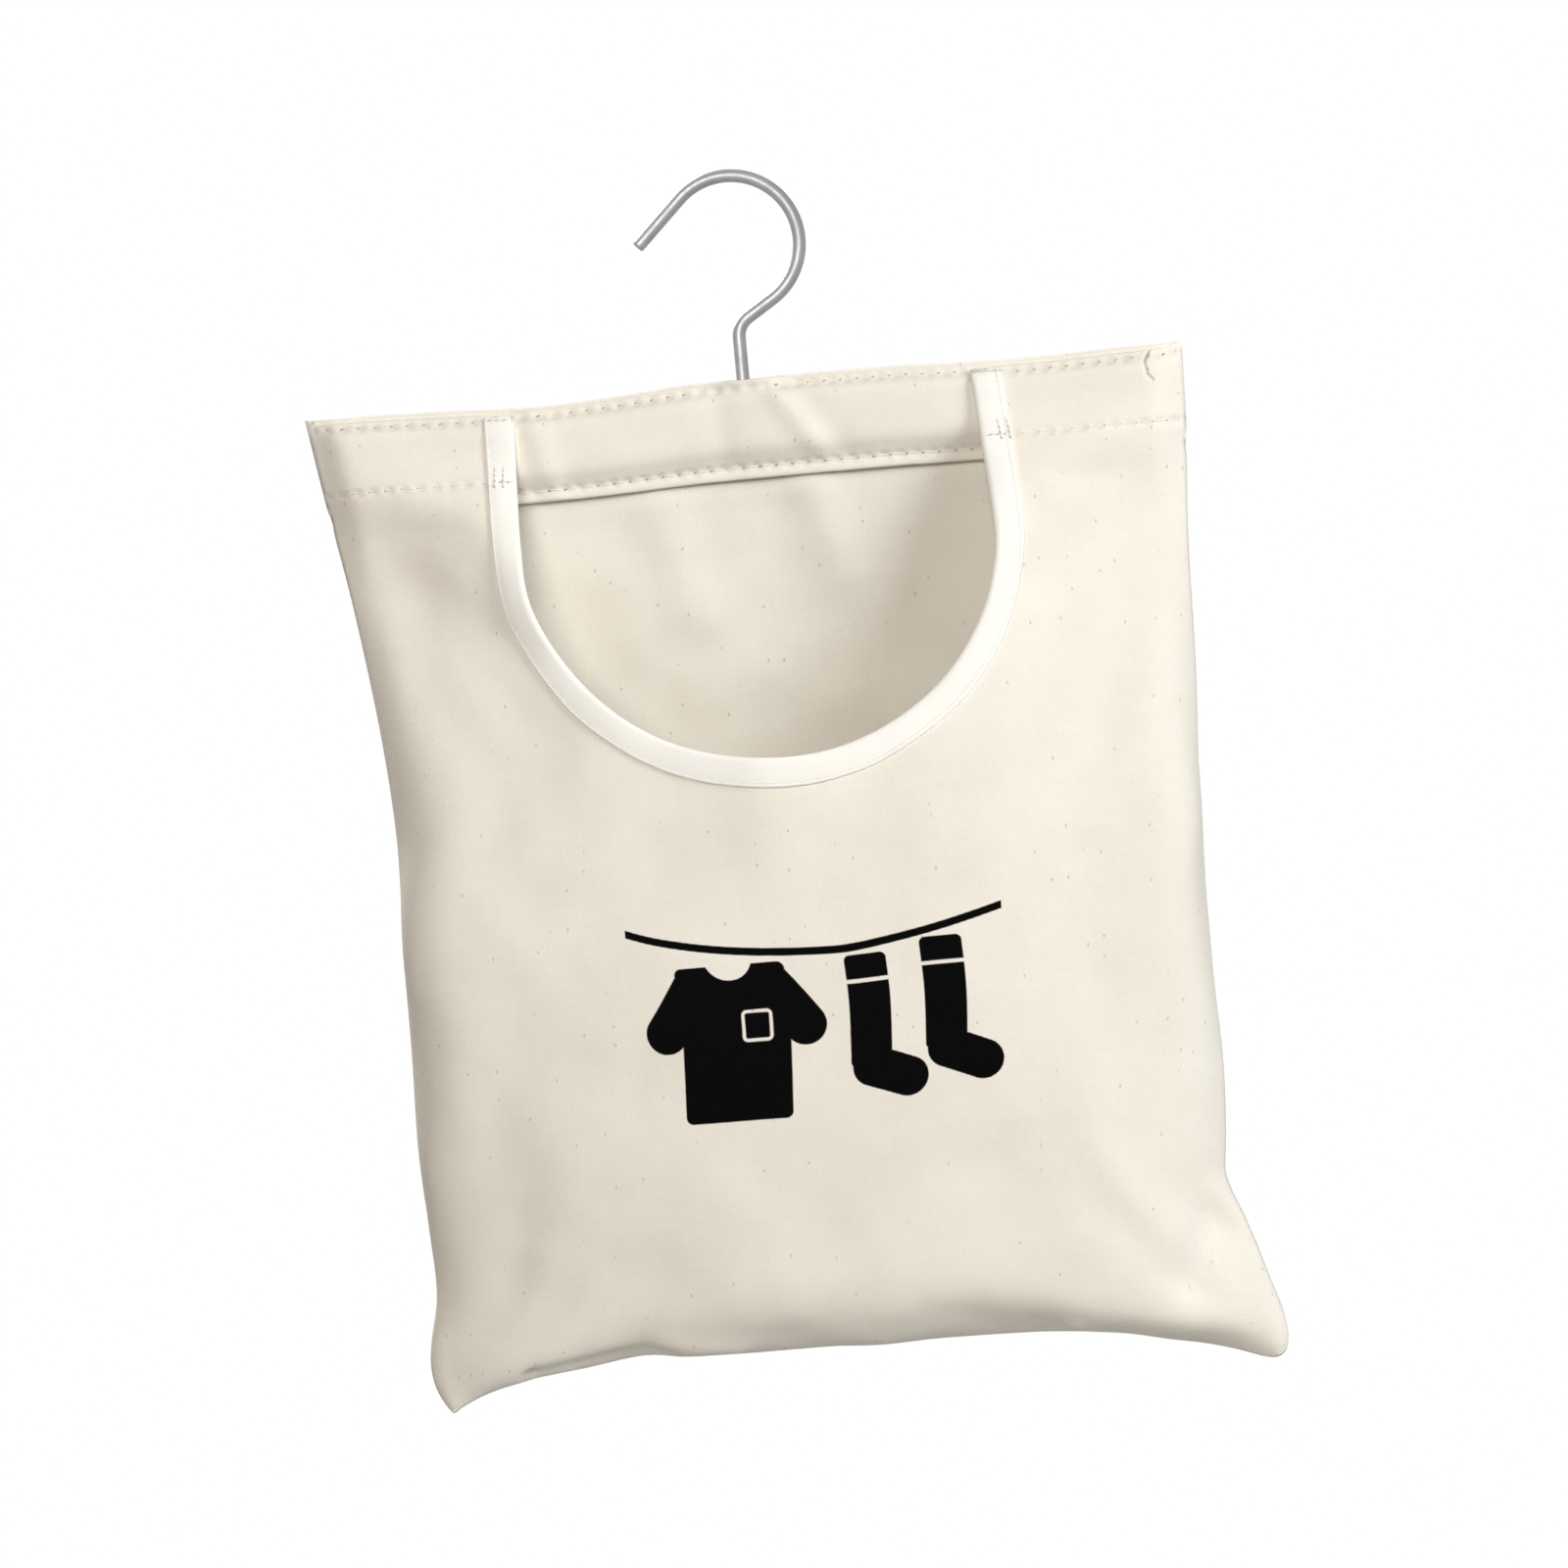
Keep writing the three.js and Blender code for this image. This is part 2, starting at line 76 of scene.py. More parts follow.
studio = {
    "tilt": math.radians(5.22),  # the bag hangs turned to the left by this much in the picture
    "aim": Vector((0.0012, 0, -0.185)),
    "distance": 1.6,
    "lens": 120,
    "sensor": 36,
    "ambient": 0.1,
    "ambientColour": (1.0, 0.94, 0.85),
    "key": {"place": Vector((1.8, -1.1, 0.5)), "size": 1.2, "power": 37, "colour": (0.97, 0.99, 1)},
    "fill": {"place": Vector((-0.4, -2.07, 0.42)), "size": 1.05, "power": 27.5, "colour": (1, 0.94, 0.87)},
    "back": {"place": Vector((-1.0, 1.6, 1.3)), "size": 1.0, "power": 56, "colour": (1, 0.98, 0.95)},
    "floorDrop": 0.9,  # below the bag
    "floorRadius": 0.75,
    "floorSides": 96,
    "floorColour": (0.9, 0.9, 0.89),
    "rimStart": 1.05,  # where the floor starts to turn white, of its distance below the origin
}


def paintWith(data, material):
    data.materials.clear()
    data.materials.append(material)


def toObject(name, data, material=None):
    made = bpy.data.objects.new(name, data)
    scene.collection.objects.link(made)
    if material is not None:
        paintWith(data, material)
    return made


def setCamera():
    data = bpy.data.cameras.new("camera")
    data.lens = studio["lens"]
    data.sensor_width = studio["sensor"]
    camera = toObject("camera", data)
    camera.location = studio["aim"] - Vector((0, studio["distance"], 0))
    camera.rotation_euler = (math.pi / 2, studio["tilt"], 0)
    scene.camera = camera


def setLamp(name):
    given = studio[name]
    data = bpy.data.lights.new(name, "AREA")
    data.shape = "DISK"
    data.size = given["size"]
    data.energy = given["power"]
    data.color = given["colour"]
    lamp = toObject(name, data)
    lamp.location = given["place"]
    lamp.rotation_euler = (studio["aim"] - given["place"]).to_track_quat("-Z", "Y").to_euler()
    lamp.visible_glossy = name != "key"  # one lamp on each side shines in the wire


# Shader maths: a Flow wraps a socket, and an expression on it adds Math nodes

def plug(tree, socket, value):
    if isinstance(value, Flow):
        tree.links.new(value.socket, socket)
    elif isinstance(value, bpy.types.NodeSocket):
        tree.links.new(value, socket)
    elif hasattr(value, "__len__") and len(value) == 3 and socket.type == "RGBA":
        socket.default_value = (*value, 1)
    else:
        socket.default_value = value


def addNode(tree, kind, settings=None, sockets=None):
    made = tree.nodes.new(kind)
    for key, value in (settings or {}).items():
        setattr(made, key, value)
    for key, value in (sockets or {}).items():
        plug(tree, made.inputs[key], value)
    return made


class Flow:
    def __init__(self, socket):
        self.socket = socket

    def maths(self, operation, *values):
        settings, sockets = {"operation": operation}, dict(enumerate(values))
        return Flow(addNode(self.socket.id_data, "ShaderNodeMath", settings, sockets).outputs[0])

    def __neg__(self):
        return self * -1.0

    def parity(self):
        return self.maths("FLOORED_MODULO", self, 2.0)

    def smooth(self, low, high):
        settings = {"interpolation_type": "SMOOTHSTEP"}
        sockets = {"Value": self, "From Min": low, "From Max": high}
        return Flow(addNode(self.socket.id_data, "ShaderNodeMapRange", settings, sockets).outputs[0])

    def blend(self, low, high):
        return low + (high - low) * self


# Each operator and method of a Flow that is one Math node, and whether it takes the other value first
flowMaths = {
    "__add__": ("ADD", False), "__radd__": ("ADD", True),
    "__sub__": ("SUBTRACT", False), "__rsub__": ("SUBTRACT", True),
    "__mul__": ("MULTIPLY", False), "__rmul__": ("MULTIPLY", True),
    "__truediv__": ("DIVIDE", False), "__abs__": ("ABSOLUTE", False),
    "floor": ("FLOOR", False), "fract": ("FRACT", False),
    "cosine": ("COSINE", False), "root": ("SQRT", False),
    "least": ("MINIMUM", False), "most": ("MAXIMUM", False),
}


def flowMethod(operation, swapped):
    def method(flow, *others):
        values = (flow, *others)
        return flow.maths(operation, *(values[::-1] if swapped else values))
    return method


for name, (operation, swapped) in flowMaths.items():
    setattr(Flow, name, flowMethod(operation, swapped))


class Finish:
    def __init__(self, name):
        self.material = bpy.data.materials.new(name)
        self.material.use_nodes = True
        self.tree = self.material.node_tree
        self.tree.nodes.clear()

    def node(self, kind, settings=None, sockets=None, give=0):
        made = addNode(self.tree, kind, settings, sockets)
        return Flow(made.outputs[give]) if made.outputs else None

    def place(self):
        return self.node("ShaderNodeTexCoord", {}, {}, 3)

    def flat(self):
        return self.node("ShaderNodeUVMap", {"uv_map": "flat"})

    def split(self, place):
        made = addNode(self.tree, "ShaderNodeSeparateXYZ", {}, {0: place})
        return [Flow(output) for output in made.outputs]

    def vector(self, x, y, z=0.0):
        return self.node("ShaderNodeCombineXYZ", {}, {0: x, 1: y, 2: z})

    def noise(self, place, scale, detail=2.0, rough=0.5):
        sockets = {"Vector": place, "Scale": scale, "Detail": detail, "Roughness": rough}
        return self.node("ShaderNodeTexNoise", {}, sockets)

    def mix(self, share, first, second):
        return self.node("ShaderNodeMix", {"data_type": "RGBA"}, {0: share, 6: first, 7: second}, 2)

    def shade(self, colour, factor):
        grey = self.node("ShaderNodeCombineColor", {}, {0: factor, 1: factor, 2: factor})
        settings = {"data_type": "RGBA", "blend_type": "MULTIPLY"}
        return self.node("ShaderNodeMix", settings, {0: 1.0, 6: colour, 7: grey}, 2)

    def bump(self, height, distance, strength=1.0, over=None):
        sockets = {"Height": height, "Distance": distance, "Strength": strength}
        if over is not None:
            sockets["Normal"] = over
        return self.node("ShaderNodeBump", {}, sockets)

    def close(self, colour, rough, normal=None, **constants):
        sockets = {"Base Color": colour, "Roughness": rough}
        if normal is not None:
            sockets["Normal"] = normal
        sockets.update({key.replace("_", " "): value for key, value in constants.items()})
        shader = self.node("ShaderNodeBsdfPrincipled", {}, sockets)
        self.node("ShaderNodeOutputMaterial", {}, {0: shader})
        return self.material


# 1 where a ray is of one of the kinds, else 0
def rayIs(tree, *kinds):
    rays = addNode(tree, "ShaderNodeLightPath")
    first, *others = [Flow(rays.outputs[kind]) for kind in kinds]
    for other in others:
        first = first.most(other)
    return first


def setWorld():
    world = bpy.data.worlds.new("studio")
    scene.world = world
    world.use_nodes = True
    tree = world.node_tree
    tree.nodes.clear()
    seen = rayIs(tree, "Is Camera Ray", "Is Glossy Ray", "Is Transmission Ray")
    colours = {0: seen, 6: studio["ambientColour"], 7: (1, 1, 1)}
    colour = addNode(tree, "ShaderNodeMix", {"data_type": "RGBA"}, colours)
    given = {"Color": colour.outputs[2], "Strength": seen.blend(studio["ambient"], 1.0)}
    background = addNode(tree, "ShaderNodeBackground", {}, given)
    addNode(tree, "ShaderNodeOutputWorld", {}, {0: background.outputs[0]})


def makeFloor():
    sides, radius = studio["floorSides"], studio["floorRadius"]
    level = cadBox[0].z - studio["floorDrop"]
    turns = [2 * math.pi * k / sides for k in range(sides)]
    data = bpy.data.meshes.new("floor")
    data.from_pydata([(radius * math.cos(t), radius * math.sin(t), level) for t in turns], [], [range(sides)])
    paint = Finish("pale_floor")
    away = paint.node("ShaderNodeVectorMath", {"operation": "LENGTH"}, {0: paint.place()}, 1)
    seen = rayIs(paint.tree, "Is Camera Ray", "Is Glossy Ray")
    farAway = abs(level)
    rim = away.smooth(farAway * studio["rimStart"], math.hypot(farAway, radius))
    plain = paint.node("ShaderNodeBsdfDiffuse", {}, {"Color": studio["floorColour"]})
    white = paint.node("ShaderNodeEmission", {}, {"Color": (1, 1, 1)})
    both = paint.node("ShaderNodeMixShader", {}, {0: rim * seen, 1: plain, 2: white})
    paint.node("ShaderNodeOutputMaterial", {}, {0: both})
    toObject("floor", data, paint.material)


scene.view_settings.view_transform = "Standard"
setCamera()
setLamp("key")
setLamp("fill")
setLamp("back")
setWorld()
makeFloor()
print("stage: camera, three lamps, world and floor")


# Shape helpers

def smooth(value):
    value = np.clip(value, 0, 1)
    return value * value * (3 - 2 * value)


# Value of a table of (place, value) at many places, on a smooth curve through its points
def follow(table, places):
    x, y = np.array(table, float).T
    last = len(x) - 1
    order = np.arange(last + 1)
    before = np.maximum(order - 1, 0)
    after = np.minimum(order + 1, last)
    slope = (y[after] - y[before]) / (x[after] - x[before])
    i = np.clip(np.searchsorted(x, places, side="left") - 1, 0, last - 1)
    span = x[i + 1] - x[i]
    t = np.clip((places - x[i]) / span, 0, 1)
    start = (1 - t) ** 2 * ((1 + 2 * t) * y[i] + t * span * slope[i])
    return start + t ** 2 * ((3 - 2 * t) * y[i + 1] - (1 - t) * span * slope[i + 1])


# The vertex at each corner of each face
def cornersOf(data):
    corners = np.empty(len(data.loops), int)
    data.loops.foreach_get("vertex_index", corners)
    return corners


def toMesh(name, points, faces, flat=None):
    data = bpy.data.meshes.new(name)
    data.from_pydata([tuple(p) for p in points], [], [tuple(int(k) for k in f) for f in faces])
    data.polygons.foreach_set("use_smooth", [True] * len(data.polygons))
    if flat is not None:
        layer = data.uv_layers.new(name="flat")
        layer.data.foreach_set("uv", np.asarray(flat, float)[cornersOf(data)].ravel())
    data.validate()
    data.update()
    return data


# The mesh that an object's modifiers make, on a new object of the same name, and the old one removed
def settle(made):
    name = made.name
    graph = bpy.context.evaluated_depsgraph_get()
    shown = made.evaluated_get(graph)
    data = bpy.data.meshes.new_from_object(shown, preserve_all_data_layers=True, depsgraph=graph)
    bpy.data.objects.remove(made)
    data.name = name
    return toObject(name, data)


# The "co" or the "normal" of every vertex
def valuesOf(data, key):
    values = np.empty(len(data.vertices) * 3)
    data.vertices.foreach_get(key, values)
    return values.reshape(-1, 3)


def flatOf(data):
    places = np.empty(len(data.loops) * 2)
    data.uv_layers["flat"].data.foreach_get("uv", places)
    flat = np.zeros((len(data.vertices), 2))
    flat[cornersOf(data)] = places.reshape(-1, 2)
    return flat


def flatArea(data):
    flat = flatOf(data)
    area = 0.0
    for face in data.polygons:
        x, y = flat[list(face.vertices)].T
        area += abs(np.dot(x, np.roll(y, -1)) - np.dot(y, np.roll(x, -1))) / 2
    return area


def unitRows(rows):
    return rows / np.linalg.norm(rows, axis=1)[:, None]


# How far along a line each of its points is
def lengthsOf(line):
    return np.concatenate([[0], np.cumsum(np.linalg.norm(np.diff(line, axis=0), axis=1))])


# Rows of values, interpolated where a length along the line is wanted
def between(want, lengths, values):
    return np.column_stack([np.interp(want, lengths, column) for column in values.T])


# Faces between closed rings of points that follow each other
def tubeFaces(rings, around):
    faces = []
    for r in range(rings - 1):
        for k in range(around):
            a, b = r * around + k, r * around + (k + 1) % around
            faces.append((a, b, b + around, a + around))
    return faces


# A closed mesh whose volume is negative has its faces turned inwards
def faceOutwards(data):
    points = valuesOf(data, "co")
    data.calc_loop_triangles()
    triangles = np.empty(len(data.loop_triangles) * 3, int)
    data.loop_triangles.foreach_get("vertices", triangles)
    a, b, c = points[triangles.reshape(-1, 3).T]
    if np.sum(a * np.cross(b, c)) < 0:
        data.flip_normals()


# Finds places of the flat cloth on the hanging one
class Surface:
    def __init__(self, data):
        self.flat = [Vector((u, v, 0)) for u, v in flatOf(data)]
        self.points = [v.co.copy() for v in data.vertices]
        self.normals = [v.normal.copy() for v in data.vertices]
        self.faces = [tuple(face.vertices) for face in data.polygons]
        self.tree = BVHTree.FromPolygons(self.flat, self.faces)

    def at(self, u, v):
        spot, _, face, _ = self.tree.find_nearest(Vector((u, v, 0)))
        corners = self.faces[face]
        weights = poly_3d_calc([self.flat[k] for k in corners], spot)
        point, normal = (sum((values[k] * w for k, w in zip(corners, weights)), Vector())
                         for values in (self.points, self.normals))
        return point, normal.normalized()


# The cloth's sizes

cloth = {
    "thickness": 0.0008,
    "gap": 0.0001,  # between layers that lie on each other
    "flatLength": 0.312,  # of a panel from the top edge to the bottom seam
    "cell": 0.004,
    "allowance": 0.007,  # of the seams, turned to the inside
    "creaseStep": 0.0022,  # first row of the allowance
    "cornerShare": 0.45,  # the allowance's share of the way to a corner
    "seamRounding": 0.0008,  # the sides' rounded seams end this far inside the header's flat edge
    "seamRise": 0.0045,  # from a seam in to the full thickness of its layers
    "topLoad": 0.3,  # share of the pressure at the top edge
    "fullLoadDepth": 0.22,  # the whole pressure from here down: the pegs lie low in the bag
    "frames": 40,
    "startSlack": 0.004,  # each panel starts this far from the seams' plane, and with this much belly
    "startBelly": 0.012,
    "relaxRounds": 6,
    "relaxFrom": 0.7,  # share of the half width where the stronger smoothing begins
    "relaxOver": 0.25,
    "relaxLeast": 0.25,  # strength in the middle, and how much more beside the seams
    "relaxMore": 0.55,
    "rimRadius": 0.006,  # of the neighbours that a point of the opening's edge follows
    "shoulderDrop": 0.0018,  # from the back's top edge to the shoulders' fold
    "shoulderStitch": 0.0036,
    "backRest": 0.5,  # share of its belly that the back keeps just below the band
    "backRestDepth": 0.12,  # from the band down to the whole belly
    "sideLength": 0.304,
    "lowest": 1.05,  # the bottom's change grows down to this share of the depth
}

header = {
    "topStitch": 0.003,
    "bandStitch": 0.0272,
    "hemStitch": 0.024,
    "hemTurn": 0.002,  # the shoulders' hem ends this far below its stitches
    "riseStart": 0.0015,
    "rise": 0.005,
    "fall": 0.0075,
    "foldFade": 4,  # columns over which a fold's end closes up
    "overhang": 0.055,  # below the casing the shoulders come to the belly over this
    "hollow": 0.0003,  # between the bar and the cloth
    "seamFade": 0.01,  # the layers close up over this width beside the side seams
    "wireGap": 0.014,  # half the gap in the top seam, round the wire
    "wireRoom": 0.0003,
    "stackFade": 0.016,  # under the band the front comes back to its own plane over this
    "rows": (0, 0.0015, 0.003, 0.005, 0.0075, 0.011, 0.015, 0.019, 0.0225, 0.025, 0.0275),
}

opening = {
    "topHalf": 0.0705,
    "half": 0.0735,
    "depth": 0.119,
    "bowl": 0.0665,
    "centre": -0.001,
    "tilt": 0.025,
    "points": 160,  # down each side, twice as many round the bowl
    "overlap": 0.35,  # in cells: a point this far inside the opening still belongs to the cloth,
    "reach": 2,  # one on the cloth's border nearer than this may be moved onto the edge,
    "apart": 0.4,  # and two points that are moved stay at least this far apart
}

# The sides draw in as the bag fills: depth, of the side's length, and inset, of half the width
leftInsetShares = [(0, 0), (0.1, 0.035), (0.2, 0.072), (0.33, 0.108), (0.45, 0.123), (0.6, 0.115),
                   (0.73, 0.108), (0.82, 0.114), (0.89, 0.117), (0.929, 0.097), (0.958, 0.087),
                   (0.982, 0.095), (0.997, 0.112), (1.011, 0.135)]
rightInsetShares = [(0, 0), (0.1, 0.008), (0.2, 0.024), (0.33, 0.035), (0.45, 0.052), (0.62, 0.06),
                    (0.73, 0.054), (0.815, 0.065), (0.8345, 0.072), (0.851, 0.064), (0.881, 0.037),
                    (0.918, 0.0095), (0.954, -0.014), (0.978, -0.031), (0.998, -0.038), (1.013, -0.035),
                    (1.026, -0.021)]
# The bottom seam: place from the left corner to the right one, and depth as a share of the side's length
bottomShares = [(-1, 1.011), (-0.95, 1.005), (-0.88, 0.996), (-0.79, 0.987), (-0.72, 0.982), (-0.59, 0.977),
                (-0.43, 0.969), (-0.35, 0.974), (-0.24, 0.977), (0, 0.978), (0.42, 0.982), (0.59, 0.9875),
                (0.68, 0.995), (0.76, 1.0045), (0.84, 1.013), (0.92, 1.0235), (0.975, 1.031), (1, 1.0255)]
# How far the top edge sags: place from the left corner to the right one, and a share of the shoulders' drop
sagShares = [(-1, 0), (-0.66, 0.9), (-0.48, 1.5), (-0.3, 1.0), (-0.1, 0), (0.35, 0), (0.42, 0.3),
             (0.66, 0.7), (0.88, 0.3), (1, 0)]

layers = 2 * cloth["thickness"] + cloth["gap"]  # a fold's thickness
casingHalf = barBox[1].y + header["hollow"] + cloth["thickness"]


# From the seams' plane to the outer face of the header, where u and v are places on the flat cloth
def headerHalf(u, v, sewn):
    rise = smooth((v - header["riseStart"]) / header["rise"])
    fall = smooth((header["bandStitch"] - v) / header["fall"])
    casing = (casingHalf - sewn) * np.minimum(rise, fall)
    spread = np.maximum(0, 1 - (u / header["wireGap"]) ** 2) ** 2
    parted = (wireRadius + header["wireRoom"] + layers - sewn) * spread * fall
    return (sewn + np.maximum(casing, parted)) * sideFade(u)


def sideFade(u):
    return smooth((halfWidth - np.abs(u)) / header["seamFade"])


def backSewn(v):
    deep = smooth((v - header["topStitch"]) / bandDepth)
    return layers + (cloth["thickness"] - layers) * deep


# The opening's edge on the flat cloth: down the left side, round the bowl and up the right side
def openingEdge():
    count = opening["points"]
    sideDepth = opening["depth"] - opening["bowl"]
    down = np.linspace(cloth["shoulderDrop"], sideDepth, count)
    wider = opening["half"] - opening["topHalf"]
    half = opening["topHalf"] + wider * np.sin(down / sideDepth * math.pi / 2)
    turn = np.linspace(math.pi, 2 * math.pi, 2 * count)
    across = opening["half"] * np.cos(turn)
    deep = sideDepth - opening["bowl"] * np.sin(turn) - opening["tilt"] * across * np.sin(turn)
    left = np.column_stack([opening["centre"] - half, down])
    bowl = np.column_stack([opening["centre"] + across, deep])
    right = np.column_stack([opening["centre"] + half, down])[::-1]
    return np.vstack([left, bowl[1:-1], right])


# Signed distance from the opening's edge, positive on the cloth, and the nearest point of the edge
def fromOpening(u, v, edge):
    steps = np.diff(edge, axis=0)
    offset = np.array([u, v]) - edge[:-1]
    along = np.clip(np.sum(offset * steps, axis=1) / np.sum(steps * steps, axis=1), 0, 1)
    feet = edge[:-1] + along[:, None] * steps
    away = np.hypot(feet[:, 0] - u, feet[:, 1] - v)
    near = int(np.argmin(away))
    inside = False
    x, y = edge[:, 0], edge[:, 1]
    if y[0] - cloth["cell"] <= v:
        crossed = (x[:-1] > u) != (x[1:] > u)
        with np.errstate(divide="ignore", invalid="ignore"):
            height = y[:-1] + (u - x[:-1]) * (y[1:] - y[:-1]) / (x[1:] - x[:-1])
        inside = bool(np.any(crossed & (height > v)))
    return (-away[near] if inside else away[near]), feet[near]


# Both panels flat: the back's full grid, and the front's, which shares the side and bottom seams with it
def layPanels():
    cell = cloth["cell"]
    columns = np.linspace(-halfWidth, halfWidth, round(2 * halfWidth / cell) + 1)
    length = cloth["flatLength"]
    below = np.linspace(bandDepth, length, round((length - bandDepth) / cell) + 1)
    rows = np.concatenate([header["rows"], below])
    lastColumn, lastRow = len(columns) - 1, len(rows) - 1
    edge = openingEdge()
    flat, back, front, away = [], {}, {}, {}
    for i, u in enumerate(columns):
        for j, v in enumerate(rows):
            back[i, j] = len(flat)
            flat.append((u, v))
    for i, u in enumerate(columns):
        for j, v in enumerate(rows[1:], 1):
            if i in (0, lastColumn) or j == lastRow:
                front[i, j] = back[i, j]
                continue
            distance, _ = fromOpening(u, v, edge)
            if distance > -opening["overlap"] * cell:
                front[i, j] = len(flat)
                away[i, j] = distance
                flat.append((u, v))
    flat = np.array(flat)
    backFaces, frontFaces = [], []
    for i in range(lastColumn):
        for j in range(lastRow):
            backFaces.append((back[i, j], back[i + 1, j], back[i + 1, j + 1], back[i, j + 1]))
            corners = [(i, j), (i, j + 1), (i + 1, j + 1), (i + 1, j)]
            if all(c in front for c in corners):
                frontFaces.append([front[c] for c in corners])
    used = {k for face in frontFaces for k in face}
    front = {place: k for place, k in front.items() if k in used}
    # what borders the opening is moved onto its edge
    around = {}
    for face in frontFaces:
        for k in face:
            around[k] = around.get(k, 0) + 1
    whole = 4  # faces round a point that isn't on a border
    rim = []
    for place, k in front.items():
        if place in away and around[k] < whole and away[place] < opening["reach"] * cell:
            rim.append((abs(away[place]), k))
    placed = []
    for _, k in sorted(rim):
        spot = fromOpening(*flat[k], edge)[1]
        if all(math.dist(spot, other) > opening["apart"] * cell for other in placed):
            placed.append(spot)
            flat[k] = spot
    keep = sorted(used | set(back.values()))
    renumber = {old: new for new, old in enumerate(keep)}
    return {
        "flat": flat[keep],
        "back": {p: renumber[k] for p, k in back.items()},
        "front": {p: renumber[k] for p, k in front.items()},
        "backFaces": [[renumber[k] for k in face] for face in backFaces],
        "frontFaces": [[renumber[k] for k in face] for face in frontFaces],
        "rim": sorted({renumber[k] for _, k in rim}),
        "edge": edge,
        "columns": columns,
        "rows": rows,
    }


# Where the panels start: the header in its final shape, and below it a slight belly
def startPlaces():
    flat = panels["flat"]
    u, v = flat.T
    points = np.column_stack([u, np.zeros(len(u)), topZ - v])
    across = u / halfWidth / 2
    belly = 4 * (across + 0.5) * (0.5 - across) * np.sin(math.pi * v / cloth["flatLength"])
    lower = cloth["startSlack"] * sideFade(u) + cloth["startBelly"] * belly
    back = np.array(sorted(set(panels["back"].values()) - set(panels["front"].values())))
    front = np.array(sorted(set(panels["front"].values()) - set(panels["back"].values())))
    stacked = 1 - smooth((v - bandDepth) / header["stackFade"])
    inHeader = smooth((header["rows"][-1] + header["stackFade"] - v) / header["stackFade"])
    backY = headerHalf(u, v, backSewn(v))
    points[back, 1] = (backY * inHeader + lower * (1 - inHeader))[back]
    frontY = frontClear(u, v) * stacked + lower * (1 - stacked)
    points[front, 1] = -frontY[front]
    return points


# The least distance of the front's outer face from the seams' plane: it hangs over the band and the bar
def frontClear(u, v):
    rise = smooth((v - header["riseStart"]) / header["rise"])
    rest = layers + (casingHalf - layers) * rise + layers + cloth["gap"]
    return rest * sideFade(u) * (1 - smooth((v - header["hemStitch"]) / header["overhang"]))


clothPhysics = {
    "quality": 8,
    "mass": 0.0002,
    "tension_stiffness": 40,
    "compression_stiffness": 40,
    "shear_stiffness": 20,
    "bending_stiffness": 0.05,
    "tension_damping": 2,
    "compression_damping": 2,
    "shear_damping": 2,
    "bending_damping": 0.2,
    "air_damping": 7,
    "vertex_group_mass": "sewn_header",
    "use_pressure": True,
    "uniform_pressure_force": 6.3,
    "fluid_density": 0,
    "pressure_factor": 1,
    "vertex_group_pressure": "load",
}


def fillBag():
    points = startPlaces()
    data = toMesh("filled_bag", points, panels["frontFaces"] + panels["backFaces"])
    bag = toObject("filled_bag", data)
    lowestPin = header["rows"][-1] + cloth["thickness"]
    topPin = header["topStitch"] + cloth["thickness"]
    pinned = {k for (_, j), k in panels["back"].items() if panels["rows"][j] < lowestPin}
    pinned |= {k for (_, j), k in panels["front"].items() if panels["rows"][j] < topPin}
    bag.vertex_groups.new(name="sewn_header").add(sorted(pinned), 1.0, "REPLACE")
    load = bag.vertex_groups.new(name="load")
    for k, v in enumerate(panels["flat"][:, 1]):
        share = float(smooth(v / cloth["fullLoadDepth"]))
        load.add([k], cloth["topLoad"] + (1 - cloth["topLoad"]) * share, "REPLACE")
    filling = bag.modifiers.new("filling", "CLOTH")
    for key, value in clothPhysics.items():
        setattr(filling.settings, key, value)
    filling.collision_settings.use_collision = False
    filling.collision_settings.use_self_collision = False
    frames = cloth["frames"]
    scene.frame_end = frames
    filling.point_cache.frame_end = frames
    for step in range(1, frames + 1):
        scene.frame_set(step)
    made = settle(bag)
    points = valuesOf(made.data, "co")
    bpy.data.objects.remove(made)
    return points


# The seams and the cloth between them lose their smallest wrinkles, most of them beside the seams
def relax(points):
    flat = panels["flat"]
    seam = {k for (i, j), k in panels["back"].items() if i in (0, lastColumn) or j == lastRow}
    pairs = set()
    for face in panels["frontFaces"] + panels["backFaces"]:
        for a, b in zip(face, face[1:] + face[:1]):
            pairs.add((a, b))
            pairs.add((b, a))
    pairs = np.array([(a, b) for a, b in pairs if a not in seam or b in seam])
    count = np.maximum(np.bincount(pairs[:, 0], minlength=len(points)), 1)[:, None]
    outside = np.abs(flat[:, 0]) - cloth["relaxFrom"] * halfWidth
    beside = smooth(outside / (cloth["relaxOver"] * halfWidth))
    factor = cloth["relaxLeast"] + cloth["relaxMore"] * beside
    factor *= smooth((flat[:, 1] - bandDepth) / bandDepth)
    factor[panels["rim"]] = 0
    for _ in range(cloth["relaxRounds"]):
        total = np.zeros_like(points)
        np.add.at(total, pairs[:, 0], points[pairs[:, 1]])
        points = points + (total / count - points) * factor[:, None]
    return points


# The opening's edge becomes one smooth line: each vertex on it goes to the plane fitted to its neighbours
def trimRim(points):
    flat, faint = panels["flat"], 0.001
    front = np.array(sorted(set(panels["front"].values())))
    known, places = points[front].copy(), flat[front].copy()
    for k in panels["rim"]:
        spot = np.array(fromOpening(*flat[k], panels["edge"])[1])
        offset = places - spot
        weight = np.exp(-np.sum(offset * offset, axis=1) / cloth["rimRadius"] ** 2)
        near = weight > faint
        root = np.sqrt(weight[near])[:, None]
        basis = np.column_stack([np.ones(near.sum()), offset[near]])
        points[k] = np.linalg.lstsq(basis * root, known[near] * root, rcond=None)[0][0]
        flat[k] = spot
    return points


